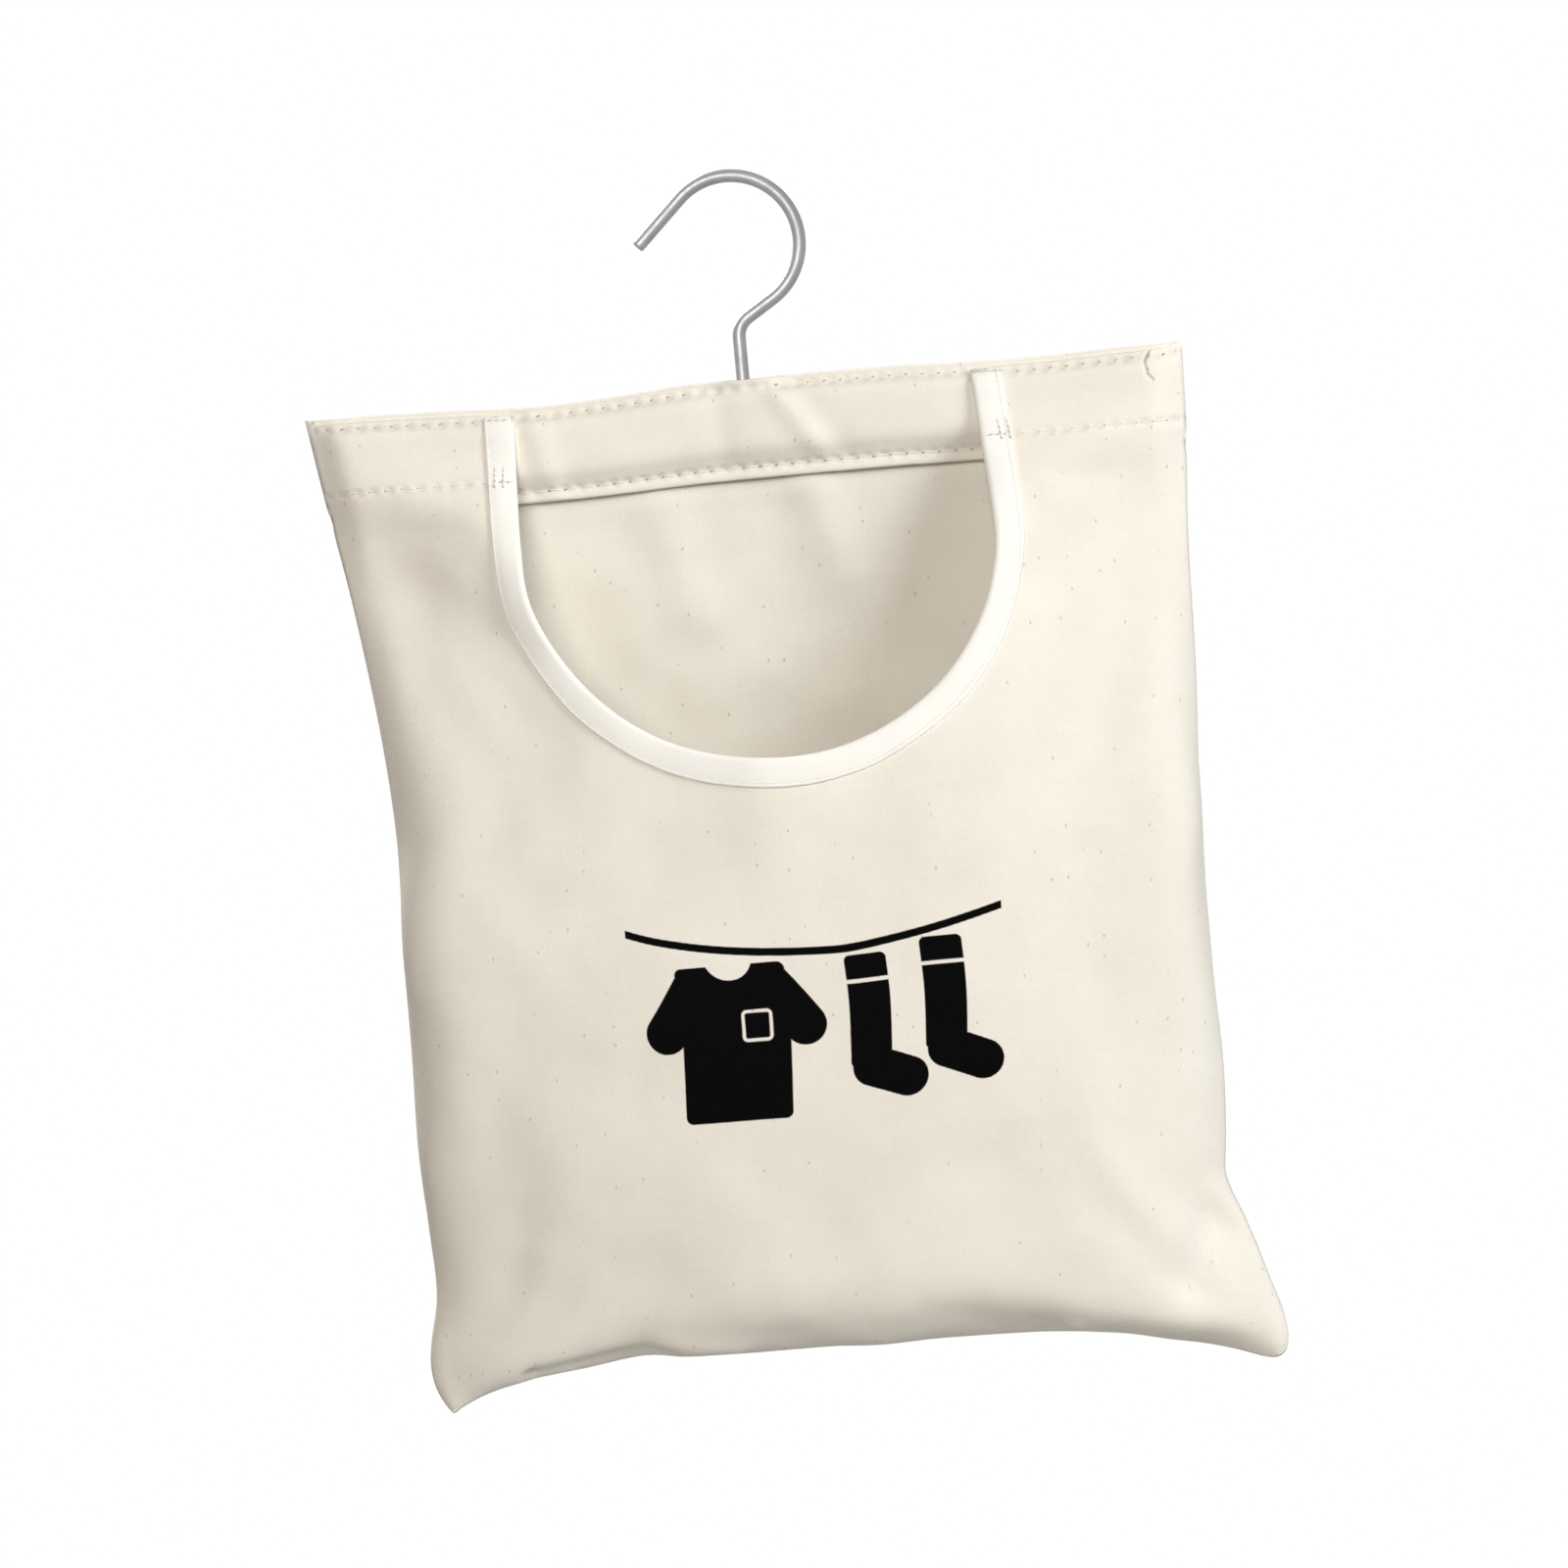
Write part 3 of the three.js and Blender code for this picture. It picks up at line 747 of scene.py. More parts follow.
panels = layPanels()
lastColumn, lastRow = len(panels["columns"]) - 1, len(panels["rows"]) - 1
filled = trimRim(relax(fillBag()))
leftSeam, rightSeam = (filled[[panels["back"][i, j] for j in range(lastRow + 1)]] for i in (0, lastColumn))
bottomSeam = filled[[panels["back"][i, lastRow] for i in range(lastColumn + 1)]]
print("cloth: filled", len(filled), "points, lowest", filled.min(0), "highest", filled.max(0))


# The hanging outline: the filled bag's sides and bottom are drawn to the lines that the tables give

def filledEdge(side, depth):
    seam = leftSeam if side < 0 else rightSeam
    return np.interp(depth, topZ - seam[:, 2], np.abs(seam[:, 0]))


def hangingEdge(side, depth):
    table = leftInsetShares if side < 0 else rightInsetShares
    return halfWidth * (1 - follow(table, depth / cloth["sideLength"]))


def acrossOf(x, depth):
    left, right = filledEdge(-1, depth), filledEdge(1, depth)
    return 2 * (x + left) / (left + right) - 1


def toHanging(points):
    x, y, z = points.T
    depth = topZ - z
    across = acrossOf(x, depth)
    bottomDepth = topZ - bottomSeam[:, 2]
    seamDepth = np.interp(across, acrossOf(bottomSeam[:, 0], bottomDepth), bottomDepth)
    share = np.clip(depth / seamDepth, 0, None)
    target = cloth["sideLength"] * follow(bottomShares, np.clip(across, -1, 1))
    depth = depth + (target - seamDepth) * np.clip(share, 0, cloth["lowest"]) ** 2
    sag = cloth["shoulderDrop"] * follow(sagShares, np.clip(across, -1, 1))
    sag *= 1 - smooth(depth / (2 * bandDepth))
    left, right = hangingEdge(-1, depth), hangingEdge(1, depth)
    # the middle stays where it is while the sides draw in by unlike amounts
    shift = (right - left) / 2
    newX = across * (left + right) / 2 + shift - shift * (1 - across ** 2)
    return np.column_stack([newX, y, topZ - depth - sag])


# Half the thickness of the layers beside a side or bottom seam, below the header
def seamHalf(u, v):
    beside = np.minimum(halfWidth - np.abs(u), cloth["flatLength"] - v)
    inner = 1 - smooth((beside - cloth["allowance"]) / cloth["allowance"])
    half = (layers + cloth["gap"]) * smooth(beside / cloth["seamRise"])
    return half * inner * smooth((v - bandDepth) / bandDepth)


# The front stays in front of the band and the hem, and both panels leave room for the seams' layers
def settlePanels(points):
    flat = panels["flat"]
    backs, fronts = set(panels["back"].values()), set(panels["front"].values())
    power = 4

    def atLeast(out, least):
        return (np.maximum(out, 0) ** power + least ** power) ** (1 / power)

    front = np.array(sorted(fronts - backs))
    back = np.array(sorted(k for k in backs - fronts if flat[k, 1] > bandDepth))
    share = smooth((flat[front, 1] - header["topStitch"]) / header["hemStitch"])
    clear = np.maximum(frontClear(*flat[front].T), seamHalf(*flat[front].T))
    points[front, 1] = -atLeast(-points[front, 1] * share, clear)
    grown = smooth((flat[back, 1] - bandDepth) / cloth["backRestDepth"])
    kept = cloth["backRest"] + (1 - cloth["backRest"]) * grown
    points[back, 1] = atLeast(points[back, 1] * kept, seamHalf(*flat[back].T))
    return points


tuck = {"at": 0.104, "half": 0.033, "reach": 0.014, "depth": 0.007}


# The bottom seam turns under beside the right corner
def turnUnder(points):
    u, v = panels["flat"].T
    near = smooth(1 - np.abs(u - tuck["at"]) / tuck["half"])
    points[:, 1] += tuck["depth"] * near * smooth(1 - (cloth["flatLength"] - v) / tuck["reach"])
    return points


hanging = toHanging(turnUnder(settlePanels(filled.copy())))
print("cloth: hanging, lowest", hanging.min(0), "highest", hanging.max(0))


# Creases, listed on the flat cloth: from, to, width, height (below 0 a valley)
frontCreases = [
    ((-0.0945, 0.3115), (-0.0965, 0.305), 0.0025, -0.0018),
    ((-0.098, 0.3065), (-0.053, 0.3050), 0.0034, -0.0018),
    ((-0.052, 0.300), (-0.030, 0.306), 0.0050, 0.0016),
    ((0.0725, 0.303), (0.079, 0.3105), 0.0018, 0.0014),
    ((0.110, 0.286), (0.124, 0.268), 0.0070, -0.0030),
    ((-0.110, 0.060), (-0.118, 0.130), 0.0120, -0.0012),
    ((0.085, 0.150), (0.105, 0.230), 0.0200, -0.0012),
    ((-0.070, 0.165), (-0.020, 0.150), 0.0160, -0.0012),
]
backCreases = [
    ((-0.090, 0.300), (-0.070, 0.312), 0.0040, -0.0016),
    ((0.060, 0.312), (0.072, 0.292), 0.0040, -0.0016),
    ((0.018, 0.034), (0.028, 0.062), 0.0080, -0.0014),
    ((-0.030, 0.036), (-0.022, 0.070), 0.0100, -0.0012),
]
bandCreases = [
    ((0.007, 0.001), (0.021, 0.022), 0.0035, 0.0012),
    ((0.014, 0.001), (0.030, 0.024), 0.0040, -0.0005),
    ((-0.009, 0.004), (-0.008, 0.024), 0.0050, -0.0007),
    ((-0.0660, 0.004), (-0.0625, 0.028), 0.0045, 0.0013),
]


def creased(flat, creases):
    height = np.zeros(len(flat))
    for start, end, width, rise in creases:
        start, end = np.array(start), np.array(end)
        line = end - start
        along = np.clip((flat - start) @ line / (line @ line), 0, 1)
        away = np.linalg.norm(flat - start - along[:, None] * line, axis=1)
        height += rise * np.exp(-(away / width) ** 2)
    return height


# Soft unevenness of hanging cloth
def uneven(flat, scale, height, seed):
    return height * np.array([noise.noise(Vector((u / scale, v / scale, seed))) for u, v in flat])


# Unit vectors across a flat line, to the side where the middle is
def acrossLine(line, middle):
    ahead = np.gradient(line, axis=0)
    across = unitRows(np.column_stack([-ahead[:, 1], ahead[:, 0]]))
    return across * np.sign(np.sum((middle - line) * across, axis=1))[:, None]


# A panel's seam allowance: two rows turned to the inside from the seam's points
def turnSeam(points, flat, faces, seam, side):
    half = cloth["flatLength"] / 2
    seamPoints, seamFlat = points[seam], flat[seam]
    inward = acrossLine(seamPoints[:, [0, 2]], np.array([0, topZ - half]))
    inwardFlat = acrossLine(seamFlat, np.array([0, half]))
    newPoints, newFlat, rows = [points], [flat], [seam]
    count = len(points)
    # the allowance is cut off at the corners, so that it stays inside their points
    toCorner = np.hypot(halfWidth - np.abs(seamFlat[:, 0]), cloth["flatLength"] - seamFlat[:, 1])
    room = np.maximum(toCorner * cloth["cornerShare"], 2 * cloth["thickness"])
    for reach in (cloth["creaseStep"], cloth["allowance"]):
        cut = np.minimum(reach, room * reach / cloth["allowance"])[:, None]
        moved = seamPoints.copy()
        moved[:, [0, 2]] += inward * cut
        moved[:, 1] += side * cloth["gap"]
        newPoints.append(moved)
        newFlat.append(seamFlat - inwardFlat * cut)
        rows.append(list(range(count, count + len(seam))))
        count += len(seam)
    edges = {edge for face in faces for edge in zip(face, face[1:] + face[:1])}
    made = list(faces)
    for near, far in zip(rows, rows[1:]):
        for k in range(len(seam) - 1):
            quad = [near[k], near[k + 1], far[k + 1], far[k]]
            if (seam[k], seam[k + 1]) in edges:
                quad.reverse()
            made.append(quad)
    return np.vstack(newPoints), np.vstack(newFlat), made


# A fold at a top edge: the first rows are repeated on the inside, a fold's thickness away.
# A run is a list of columns, each a list of rows from the edge down
def foldTop(points, flat, faces, normals, runs):
    newPoints, newFlat, made = list(points), list(flat), list(faces)
    for run in runs:
        inner = []
        for place, column in enumerate(run):
            top = column[0]
            inner.append([top, *range(len(newPoints), len(newPoints) + len(column) + 1)])
            fromEnd = min(place, len(run) - 1 - place) + 1
            rise = layers / 2 * float(smooth(fromEnd / header["foldFade"]))
            fade = float(sideFade(flat[top][0]))
            newPoints.append(points[top] - normals[top] * layers / 2 * fade + np.array([0, 0, rise]))
            newFlat.append((flat[top][0], flat[top][1] - layers))
            for k in column:
                newPoints.append(points[k] - normals[k] * layers * fade)
                newFlat.append((flat[k][0], 2 * flat[top][1] - flat[k][1] - 2 * layers))
        for left, right in zip(inner, inner[1:]):
            for a in range(len(left) - 1):
                made.append([left[a], right[a], right[a + 1], left[a + 1]])
    return np.array(newPoints), np.array(newFlat), made


def subdivided(name, points, faces, flat):
    rough = toObject(name, toMesh(name, points, faces, flat))
    finer = rough.modifiers.new("finer", "SUBSURF")
    finer.levels = 1
    finer.render_levels = 1
    finer.boundary_smooth = "PRESERVE_CORNERS"
    return settle(rough)


def thicken(made, thickness):
    wall = made.modifiers.new("thickness", "SOLIDIFY")
    wall.thickness = thickness
    wall.offset = -1
    wall.use_even_offset = False
    return settle(made)


# The header's ends draw in as far as the rounded seams below them, and the two panels lie side by side there.
# The seams start at the row that this returns
def roundSides(points, side):
    first = next(j for j, v in enumerate(panels["rows"]) if v >= bandDepth)
    for j in range(first + 1):
        apart = cloth["thickness"] * smooth((bandDepth - panels["rows"][j]) / header["fall"])
        for column, inward in ((0, 1), (lastColumn, -1)):
            points[panels["back"][column, j]] += (inward * cloth["seamRounding"], side * apart, 0)
    return first


wrinkles = {"broad": 0.045, "broadHeight": 0.0022, "fine": 0.016, "fineHeight": 0.0005, "fineSeed": 5}


def shapeCloth(made, creases, seed):
    points, normals, flat = valuesOf(made.data, "co"), valuesOf(made.data, "normal"), flatOf(made.data)
    beside = np.minimum(halfWidth - np.abs(flat[:, 0]), cloth["flatLength"] - flat[:, 1])
    free = smooth((flat[:, 1] - header["hemStitch"]) / bandDepth)
    free *= smooth(beside / wrinkles["broad"])
    height = creased(flat, creases) * smooth(beside / cloth["allowance"])
    broad = uneven(flat, wrinkles["broad"], wrinkles["broadHeight"], seed)
    fine = uneven(flat, wrinkles["fine"], wrinkles["fineHeight"], seed + wrinkles["fineSeed"])
    height += (broad + fine) * free
    height = np.where((flat[:, 1] < 0) | (beside < 0), 0, height)
    made.data.vertices.foreach_set("co", (points + normals * height[:, None]).ravel())
    made.data.update()
    return made


# One panel with its seam allowance, the fold at its top and its creases. It faces -Y where side is -1
def makePanel(key, side, runs, creases, seed):
    points, flat, place = hanging.copy(), panels["flat"], panels[key]
    faces = [list(f) for f in panels[key + "Faces"]]
    first = roundSides(points, side)
    seam = [place[0, j] for j in range(first, lastRow)]
    seam += [place[i, lastRow] for i in range(lastColumn + 1)]
    seam += [place[lastColumn, j] for j in range(lastRow - 1, first - 1, -1)]
    normals = valuesOf(toMesh("plain", points, faces), "normal")
    points, flat, faces = turnSeam(points, flat, faces, seam, side)
    points, flat, faces = foldTop(points, flat, faces, normals, runs)
    return shapeCloth(subdivided(key + "_panel_cloth", points, faces, flat), creases, seed)


hemEnd = header["hemStitch"] + header["hemTurn"]
hemRows = [j for j, v in enumerate(panels["rows"]) if cloth["shoulderDrop"] <= v <= hemEnd]
turnedRows = [j for j, v in enumerate(panels["rows"]) if v <= header["topStitch"]]
shoulders = [[], []]
for i in range(3, lastColumn - 2):
    if panels["columns"][i] and all((i, j) in panels["front"] for j in hemRows):
        shoulders[int(panels["columns"][i] > 0)].append([panels["front"][i, j] for j in hemRows])
topFold = [[panels["back"][i, j] for j in turnedRows] for i in range(lastColumn - 3, 2, -1)]
frontCloth = makePanel("front", -1, shoulders, frontCreases, 11.3)
backCloth = makePanel("back", 1, [topFold], backCreases, 47.9)
frontSurface = Surface(frontCloth.data)
backSurface = Surface(backCloth.data)
print("cloth: front", len(frontCloth.data.polygons), "faces, back", len(backCloth.data.polygons), "faces")


# Header band: one strip, its top edge turned in at the top seam and its lower edge turned up for the hem

band = {
    "columns": 135,
    "endRoom": 0.003,  # from the side seam
    "rows": (0.0017, 0.003, 0.0045, 0.006, 0.0085, 0.0115, 0.015, 0.0185, 0.0215, 0.0235, 0.0255, 0.0272,
             0.0285),
    "turnTop": 0.0032,
    "turnHem": 0.006,
    "foldSteps": 5,
    "waves": {"scale": 0.03, "height": 0.0006, "seed": 3.1},
}


def makeBand(material):
    half = layers / 2
    turns = [math.pi * k / (band["foldSteps"] - 1) for k in range(band["foldSteps"])]
    top = [(half - half * math.sin(t), half + half * math.cos(t)) for t in turns]
    hem = [(bandDepth - half + half * math.sin(t), half - half * math.cos(t)) for t in turns]
    profile = [(band["turnTop"], layers), *top, *[(v, 0) for v in band["rows"]], *hem]
    profile += [(bandDepth - band["turnHem"] / 2, layers), (bandDepth - band["turnHem"], layers)]
    lengths = np.cumsum([0] + [math.dist(a, b) for a, b in zip(profile, profile[1:])])
    lengths -= lengths[1 + band["foldSteps"] // 2]
    reach = halfWidth - band["endRoom"]
    us = np.linspace(-reach, reach, band["columns"])
    depths, behind = np.array(profile).T
    wide = len(us)
    u, v = (grid.ravel() for grid in np.meshgrid(us, depths))
    back = np.repeat(behind, wide)
    places = np.column_stack([u, v])
    front = -headerHalf(u, v, layers) + back * sideFade(u)
    front -= creased(places, bandCreases) * (back < half)
    front -= uneven(places, **band["waves"])
    points = toHanging(np.column_stack([u, front, topZ - v]))
    flat = np.column_stack([u, np.repeat(lengths, wide)])
    corners = [j * wide + i for j in range(len(profile) - 1) for i in range(wide - 1)]
    faces = [(k, k + wide, k + wide + 1, k + 1) for k in corners]
    made = subdivided("header_band_cloth", points, faces, flat)
    surface = Surface(made.data)
    size = (2 * reach, lengths[-1] - lengths[0])
    made = thicken(made, cloth["thickness"])
    made.name = "header_band_cloth"
    paintWith(made.data, material)
    return made, surface, size


# Canvas: plain weave of uneven unbleached yarn, with brown flecks of husk

canvasLook = {
    "pitch": 0.00062,
    "cream": (0.852, 0.812, 0.728),
    "pale": (0.892, 0.865, 0.792),
    "husk": (0.35, 0.28, 0.19),
    "ink": (0.001, 0.001, 0.001),
    "weave": 0.00012,
    # tone: the height share paints the weave's low places darker, painted shade between the yarns; the yarn
    # share is random tone from yarn to yarn
    "tone": {"least": 0.91, "height": 0.07, "yarn": 0.08},
    "warp": (3.7, 90.0),  # noise from yarn to yarn, and along a yarn
    "weft": (5.3, 70.0),
    "rough": 0.93,
    "inkRough": 0.8,
    "inkRag": 0.00016,  # how far the ink's edge follows the yarns
    "wander": {"scale": 160.0, "yarns": 1.6},
    "wanderUp": {"scale": 140.0, "yarns": 1.6},
    "flecks": {"size": 210.0, "flatness": 0.55, "edge": (0.02, 0.1), "few": (0.8, 0.99), "share": 0.5},
    "pucker": 0.0022,  # half the width of the puckers along a row of stitches
    "puckerPitch": 0.005,
    "puckerHeight": 0.0006,
    "creaseShare": 1.8,  # a sharp crease's depth, of the puckers' height
}

motif = {
    "centre": (0.006, 0.2),
    "line": {"half": 0.0555, "rise": 0.0315, "sag": 0.009, "thick": 0.0012},
    "soft": 0.00018,
}


# A yarn's height, where both places run from -1 to 1 over it and over the yarn that it crosses
def yarnHeight(across, along):
    return (1.0 - across * across) * (0.62 + 0.38 * (along * (math.pi / 2)).cosine())


# Plain weave at one place: the height of the yarn that lies on top, and 1 where that one is upright
def weave(x, y):
    parity = (x.floor() + y.floor()).parity()
    acrossX, acrossY = (x.fract() - 0.5) * 2.0, (y.fract() - 0.5) * 2.0
    return parity.blend(yarnHeight(acrossY, acrossX), yarnHeight(acrossX, acrossY)), parity


def lengthOf(x, y):
    return (x * x + y * y).root()


def roundBox(x, y, centre, half, corner):
    dx = abs(x - centre[0]) - (half[0] - corner)
    dy = abs(y - centre[1]) - (half[1] - corner)
    return lengthOf(dx.most(0.0), dy.most(0.0)) + dx.most(dy).least(0.0) - corner


def roundBar(x, y, start, end, radius):
    lineX, lineY = end[0] - start[0], end[1] - start[1]
    length = lineX * lineX + lineY * lineY
    offX, offY = x - start[0], y - start[1]
    along = ((offX * lineX + offY * lineY) / length).most(0.0).least(1.0)
    return lengthOf(offX - along * lineX, offY - along * lineY) - radius


# A printed line of washing, in millimetres from its centre
def washingPrint(u, v):
    mm = 0.001
    x = (u - motif["centre"][0]) / mm
    y = (motif["centre"][1] - v) / mm
    line = motif["line"]
    half, rise, sag = line["half"] / mm, line["rise"] / mm, line["sag"] / mm
    rope = abs(y - rise + sag * (1.0 - x * x / (half * half))) - line["thick"] / mm
    rope = rope.most(abs(x) - half)
    shirt = roundBox(x, y, (-26, -4), (16.5, 24), 2.2)
    for shoulder, cuff in ((-37.5, -47), (-14.5, -5)):
        shirt = shirt.least(roundBar(x, y, (shoulder, 13.5), (cuff, 0.5), 6.4))
    collar = lengthOf(x + 26, y - 22.5) - 7.2
    pocket = abs(roundBox(x, y, (-19.5, 1), (4.2, 4.4), 1.2)) - 0.5
    printed = rope.least(shirt.most(-collar).most(-pocket))
    for centre, top in ((14.5, 20.5), (37, 23.5)):
        sock = roundBox(x, y, (centre, top - 17), (6.2, 17), 1.8)
        foot = roundBar(x, y, (centre + 0.3, top - 34), (centre + 11, top - 38.5), 6)
        cuff = abs(y - top + 8) - 0.6
        printed = printed.least(sock.least(foot).most(-cuff))
    return printed * mm


# Sharp creases, as a height below the cloth: each from, to and half its width
def sharpCreases(u, v, creases):
    height = 0.0
    for start, end, width in creases:
        height = (roundBar(u, v, start, end, 0).smooth(0, width) - 1.0).least(height)
    return height * canvasLook["creaseShare"]


# Rows are the depths at which a row of stitches puckers the cloth
# paintedLift scales the whole colour up: painted light, for a lighter lit copy of the canvas
def canvasFinish(name, rows, creases=(), printed=False, paintedLift=1.0):
    look = canvasLook
    wide, high, flecks, tone = look["wander"], look["wanderUp"], look["flecks"], look["tone"]
    paint = Finish(name)
    place = paint.flat()
    u, v, _ = paint.split(place)
    wander = paint.noise(place, wide["scale"])
    x = u / look["pitch"] + wander * wide["yarns"]
    y = v / look["pitch"] + paint.noise(paint.vector(v, u), high["scale"]) * high["yarns"]
    height, parity = weave(x, y)
    thickWarp = paint.noise(paint.vector(x.floor() * look["warp"][0], v * look["warp"][1]), 1.0, 1.0)
    thickWeft = paint.noise(paint.vector(y.floor() * look["weft"][0], u * look["weft"][1]), 1.0, 1.0)
    yarn = parity.blend(thickWeft, thickWarp)
    clouds = paint.noise(place, 22.0, 3.0, 0.6)
    colour = paint.mix(clouds.smooth(0.25, 0.75), look["cream"], look["pale"])
    # painted shade: the weave's low places are darker by their height; paintedLift is painted light
    colour = paint.shade(colour, (tone["least"] + tone["height"] * height + tone["yarn"] * yarn) * paintedLift)
    cells = addNode(paint.tree, "ShaderNodeTexVoronoi", {"voronoi_dimensions": "2D"},
                    {"Vector": paint.vector(u, v * flecks["flatness"]), "Scale": flecks["size"]})
    away, chance = Flow(cells.outputs["Distance"]), Flow(cells.outputs["Color"])
    pick = paint.node("ShaderNodeSeparateColor", {}, {0: chance})
    fleck = (1.0 - away.smooth(*flecks["edge"])) * pick.smooth(*flecks["few"])
    colour = paint.mix(fleck * flecks["share"], colour, look["husk"])
    rough = look["rough"]
    relief = height * 0.7 + yarn * 0.5
    drawn = sharpCreases(u, v, creases)
    wave = ((u + wander * 0.002) * (2 * math.pi / look["puckerPitch"])).cosine()
    for row in rows:
        near = 1.0 - abs(v - row).smooth(0, look["pucker"])
        drawn = drawn + near * (wave * 0.5 - 0.9)
    if printed:
        edge = washingPrint(u, v) + (0.5 - height) * look["inkRag"]
        inked = 1.0 - edge.smooth(-motif["soft"], motif["soft"])
        colour = paint.mix(inked, colour, look["ink"])
        rough = inked.blend(look["rough"], look["inkRough"])
    normal = paint.bump(drawn, look["puckerHeight"], 0.6)
    normal = paint.bump(relief, look["weave"], 0.55, normal)
    return paint.close(colour, rough, normal, Specular_IOR_Level=0.05)


tapeLook = {
    "pitch": 0.00034,
    "white": (0.98, 0.975, 0.94),
    "cream": (0.965, 0.955, 0.91),
    "weave": 0.00006,
}


def tapeFinish():
    look = tapeLook
    paint = Finish("bias_tape")
    place = paint.flat()
    turned = paint.node("ShaderNodeMapping", {}, {"Vector": place, "Rotation": (0, 0, math.radians(45))})
    x, y, _ = paint.split(turned)
    height, _ = weave(x / look["pitch"], y / look["pitch"])
    clouds = paint.noise(place, 60.0)
    colour = paint.mix(clouds.smooth(0.3, 0.7), look["cream"], look["white"])
    # painted shade: the tape's weave is darker in its low places
    colour = paint.shade(colour, 0.95 + 0.05 * height)
    normal = paint.bump(height, look["weave"], 0.4)
    return paint.close(colour, 0.85, normal, Specular_IOR_Level=0.2)


def threadFinish():
    paint = Finish("cotton_thread")
    sockets = {"Vector": paint.place(), "Scale": 900.0}
    twist = paint.node("ShaderNodeTexWave", {"bands_direction": "DIAGONAL"}, sockets)
    colour = paint.mix(twist, (0.78, 0.72, 0.61), (0.90, 0.86, 0.77))
    normal = paint.bump(twist, 0.00008, 0.5)
    return paint.close(colour, 0.75, normal)


# Dark beads laid into the needle holes: their colour is painted shade, the shadow in a hole
def holeShadeFinish(name, deep, shallow):
    paint = Finish(name)
    colour = paint.mix(paint.noise(paint.place(), 1500.0), deep, shallow)
    return paint.close(colour, 0.95)


def steelFinish(name):
    paint = Finish(name)
    place = paint.place()
    x, y, z = paint.split(place)
    drawn = paint.noise(paint.vector(x * 900.0, y * 900.0, z * 60.0), 1.0, 3.0)
    patches = paint.noise(place, 140.0, 3.0)
    colour = paint.mix(patches.smooth(0.3, 0.7), (0.29, 0.293, 0.297), (0.34, 0.343, 0.347))
    rough = drawn.smooth(0.3, 0.7).blend(0.42, 0.5)
    normal = paint.bump(drawn, 0.000004, 0.1)
    return paint.close(colour, rough, normal, Metallic=1.0)


def woodFinish():
    paint = Finish("beech")
    x, y, z = paint.split(paint.place())
    rings = paint.noise(paint.vector(x * 6.0, y * 160.0, z * 160.0), 1.0, 3.0)
    flakes = paint.noise(paint.vector(x * 220.0, y * 1400.0, z * 1400.0), 1.0, 1.0)
    colour = paint.mix(rings.smooth(0.35, 0.65), (0.62, 0.40, 0.22), (0.74, 0.53, 0.33))
    colour = paint.mix(flakes.smooth(0.62, 0.72) * 0.5, colour, (0.42, 0.25, 0.13))
    normal = paint.bump(rings + flakes * 0.4, 0.0001, 0.4)
    return paint.close(colour, 0.6, normal)


backRows = (header["topStitch"], header["bandStitch"])
frontRows = (cloth["shoulderStitch"], header["hemStitch"])
bandCanvas = canvasFinish("band_canvas", backRows)
# the back panel's canvas is painted 6 % lighter than the band's: painted light on the inside seen through the
# opening
backCanvas = canvasFinish("canvas", backRows, paintedLift=1.06)
# the bar's end shows beside the right corner
barEnd = [(0.1238, 0.0023), (0.1222, 0.0050), (0.1229, 0.0094), (0.1246, 0.0112)]
barCreases = [(start, end, 0.0011) for start, end in zip(barEnd, barEnd[1:])]
printedCanvas = canvasFinish("printed_canvas", frontRows, barCreases, True)
tapeMaterial = tapeFinish()
threadMaterial = threadFinish()
holeShadeMaterial = holeShadeFinish("needle_hole_shade", (0.40, 0.36, 0.29), (0.54, 0.50, 0.41))
tackShade = holeShadeFinish("tack_shade", (0.56, 0.58, 0.53), (0.68, 0.69, 0.63))
steelMaterial = steelFinish("bright_steel")
print("materials: canvas, printed canvas, tape, thread, steel and wood")

flatWidth = 2 * (halfWidth + cloth["allowance"])
flatLength = cloth["flatLength"] + cloth["allowance"]


def finishPanel(made, name, material, node, flat):
    area = flatArea(made.data)
    piece = thicken(made, cloth["thickness"])
    piece.name = name
    paintWith(piece.data, material)
    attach(piece, "bag")
    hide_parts(node)
    print("piece:", name, "flat area", round(area, 4))
    return piece, flat, area


frontPiece = finishPanel(frontCloth, "front_panel_cloth", printedCanvas, "front_panel",
                         (flatWidth, flatLength + header["hemStitch"] + layers))
backPiece = finishPanel(backCloth, "back_panel_cloth", backCanvas, "back_panel",
                        (flatWidth, flatLength + 2 * header["topStitch"]))
bandPiece, bandSurface, bandFlat = makeBand(bandCanvas)
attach(bandPiece, "bag")
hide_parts("header_band")
print("piece: header_band_cloth")


# Binding: tape folded over the opening's edge

tape = {
    "width": 0.0084,
    "thickness": 0.0005,
    "puff": 0.00035,  # the folded edges stand up by this
    "stations": 420,
    "columns": 6,  # across the tape
    "smoothing": (6, 12),  # rounds, for the points and for the normals
    "wallSpan": 4,  # stations to each side over which the cloth's edge changes thickness
    "stitchInset": 0.0013,
    "lining": 0.00003,  # between the tape and the cloth
}


def smoothLine(points, rounds):
    for _ in range(rounds):
        points[1:-1] = (points[:-2] + 2 * points[1:-1] + points[2:]) / 4
    return points


def evenly(line, count):
    lengths = lengthsOf(line)
    return between(np.linspace(0, lengths[-1], count), lengths, line), lengths[-1]


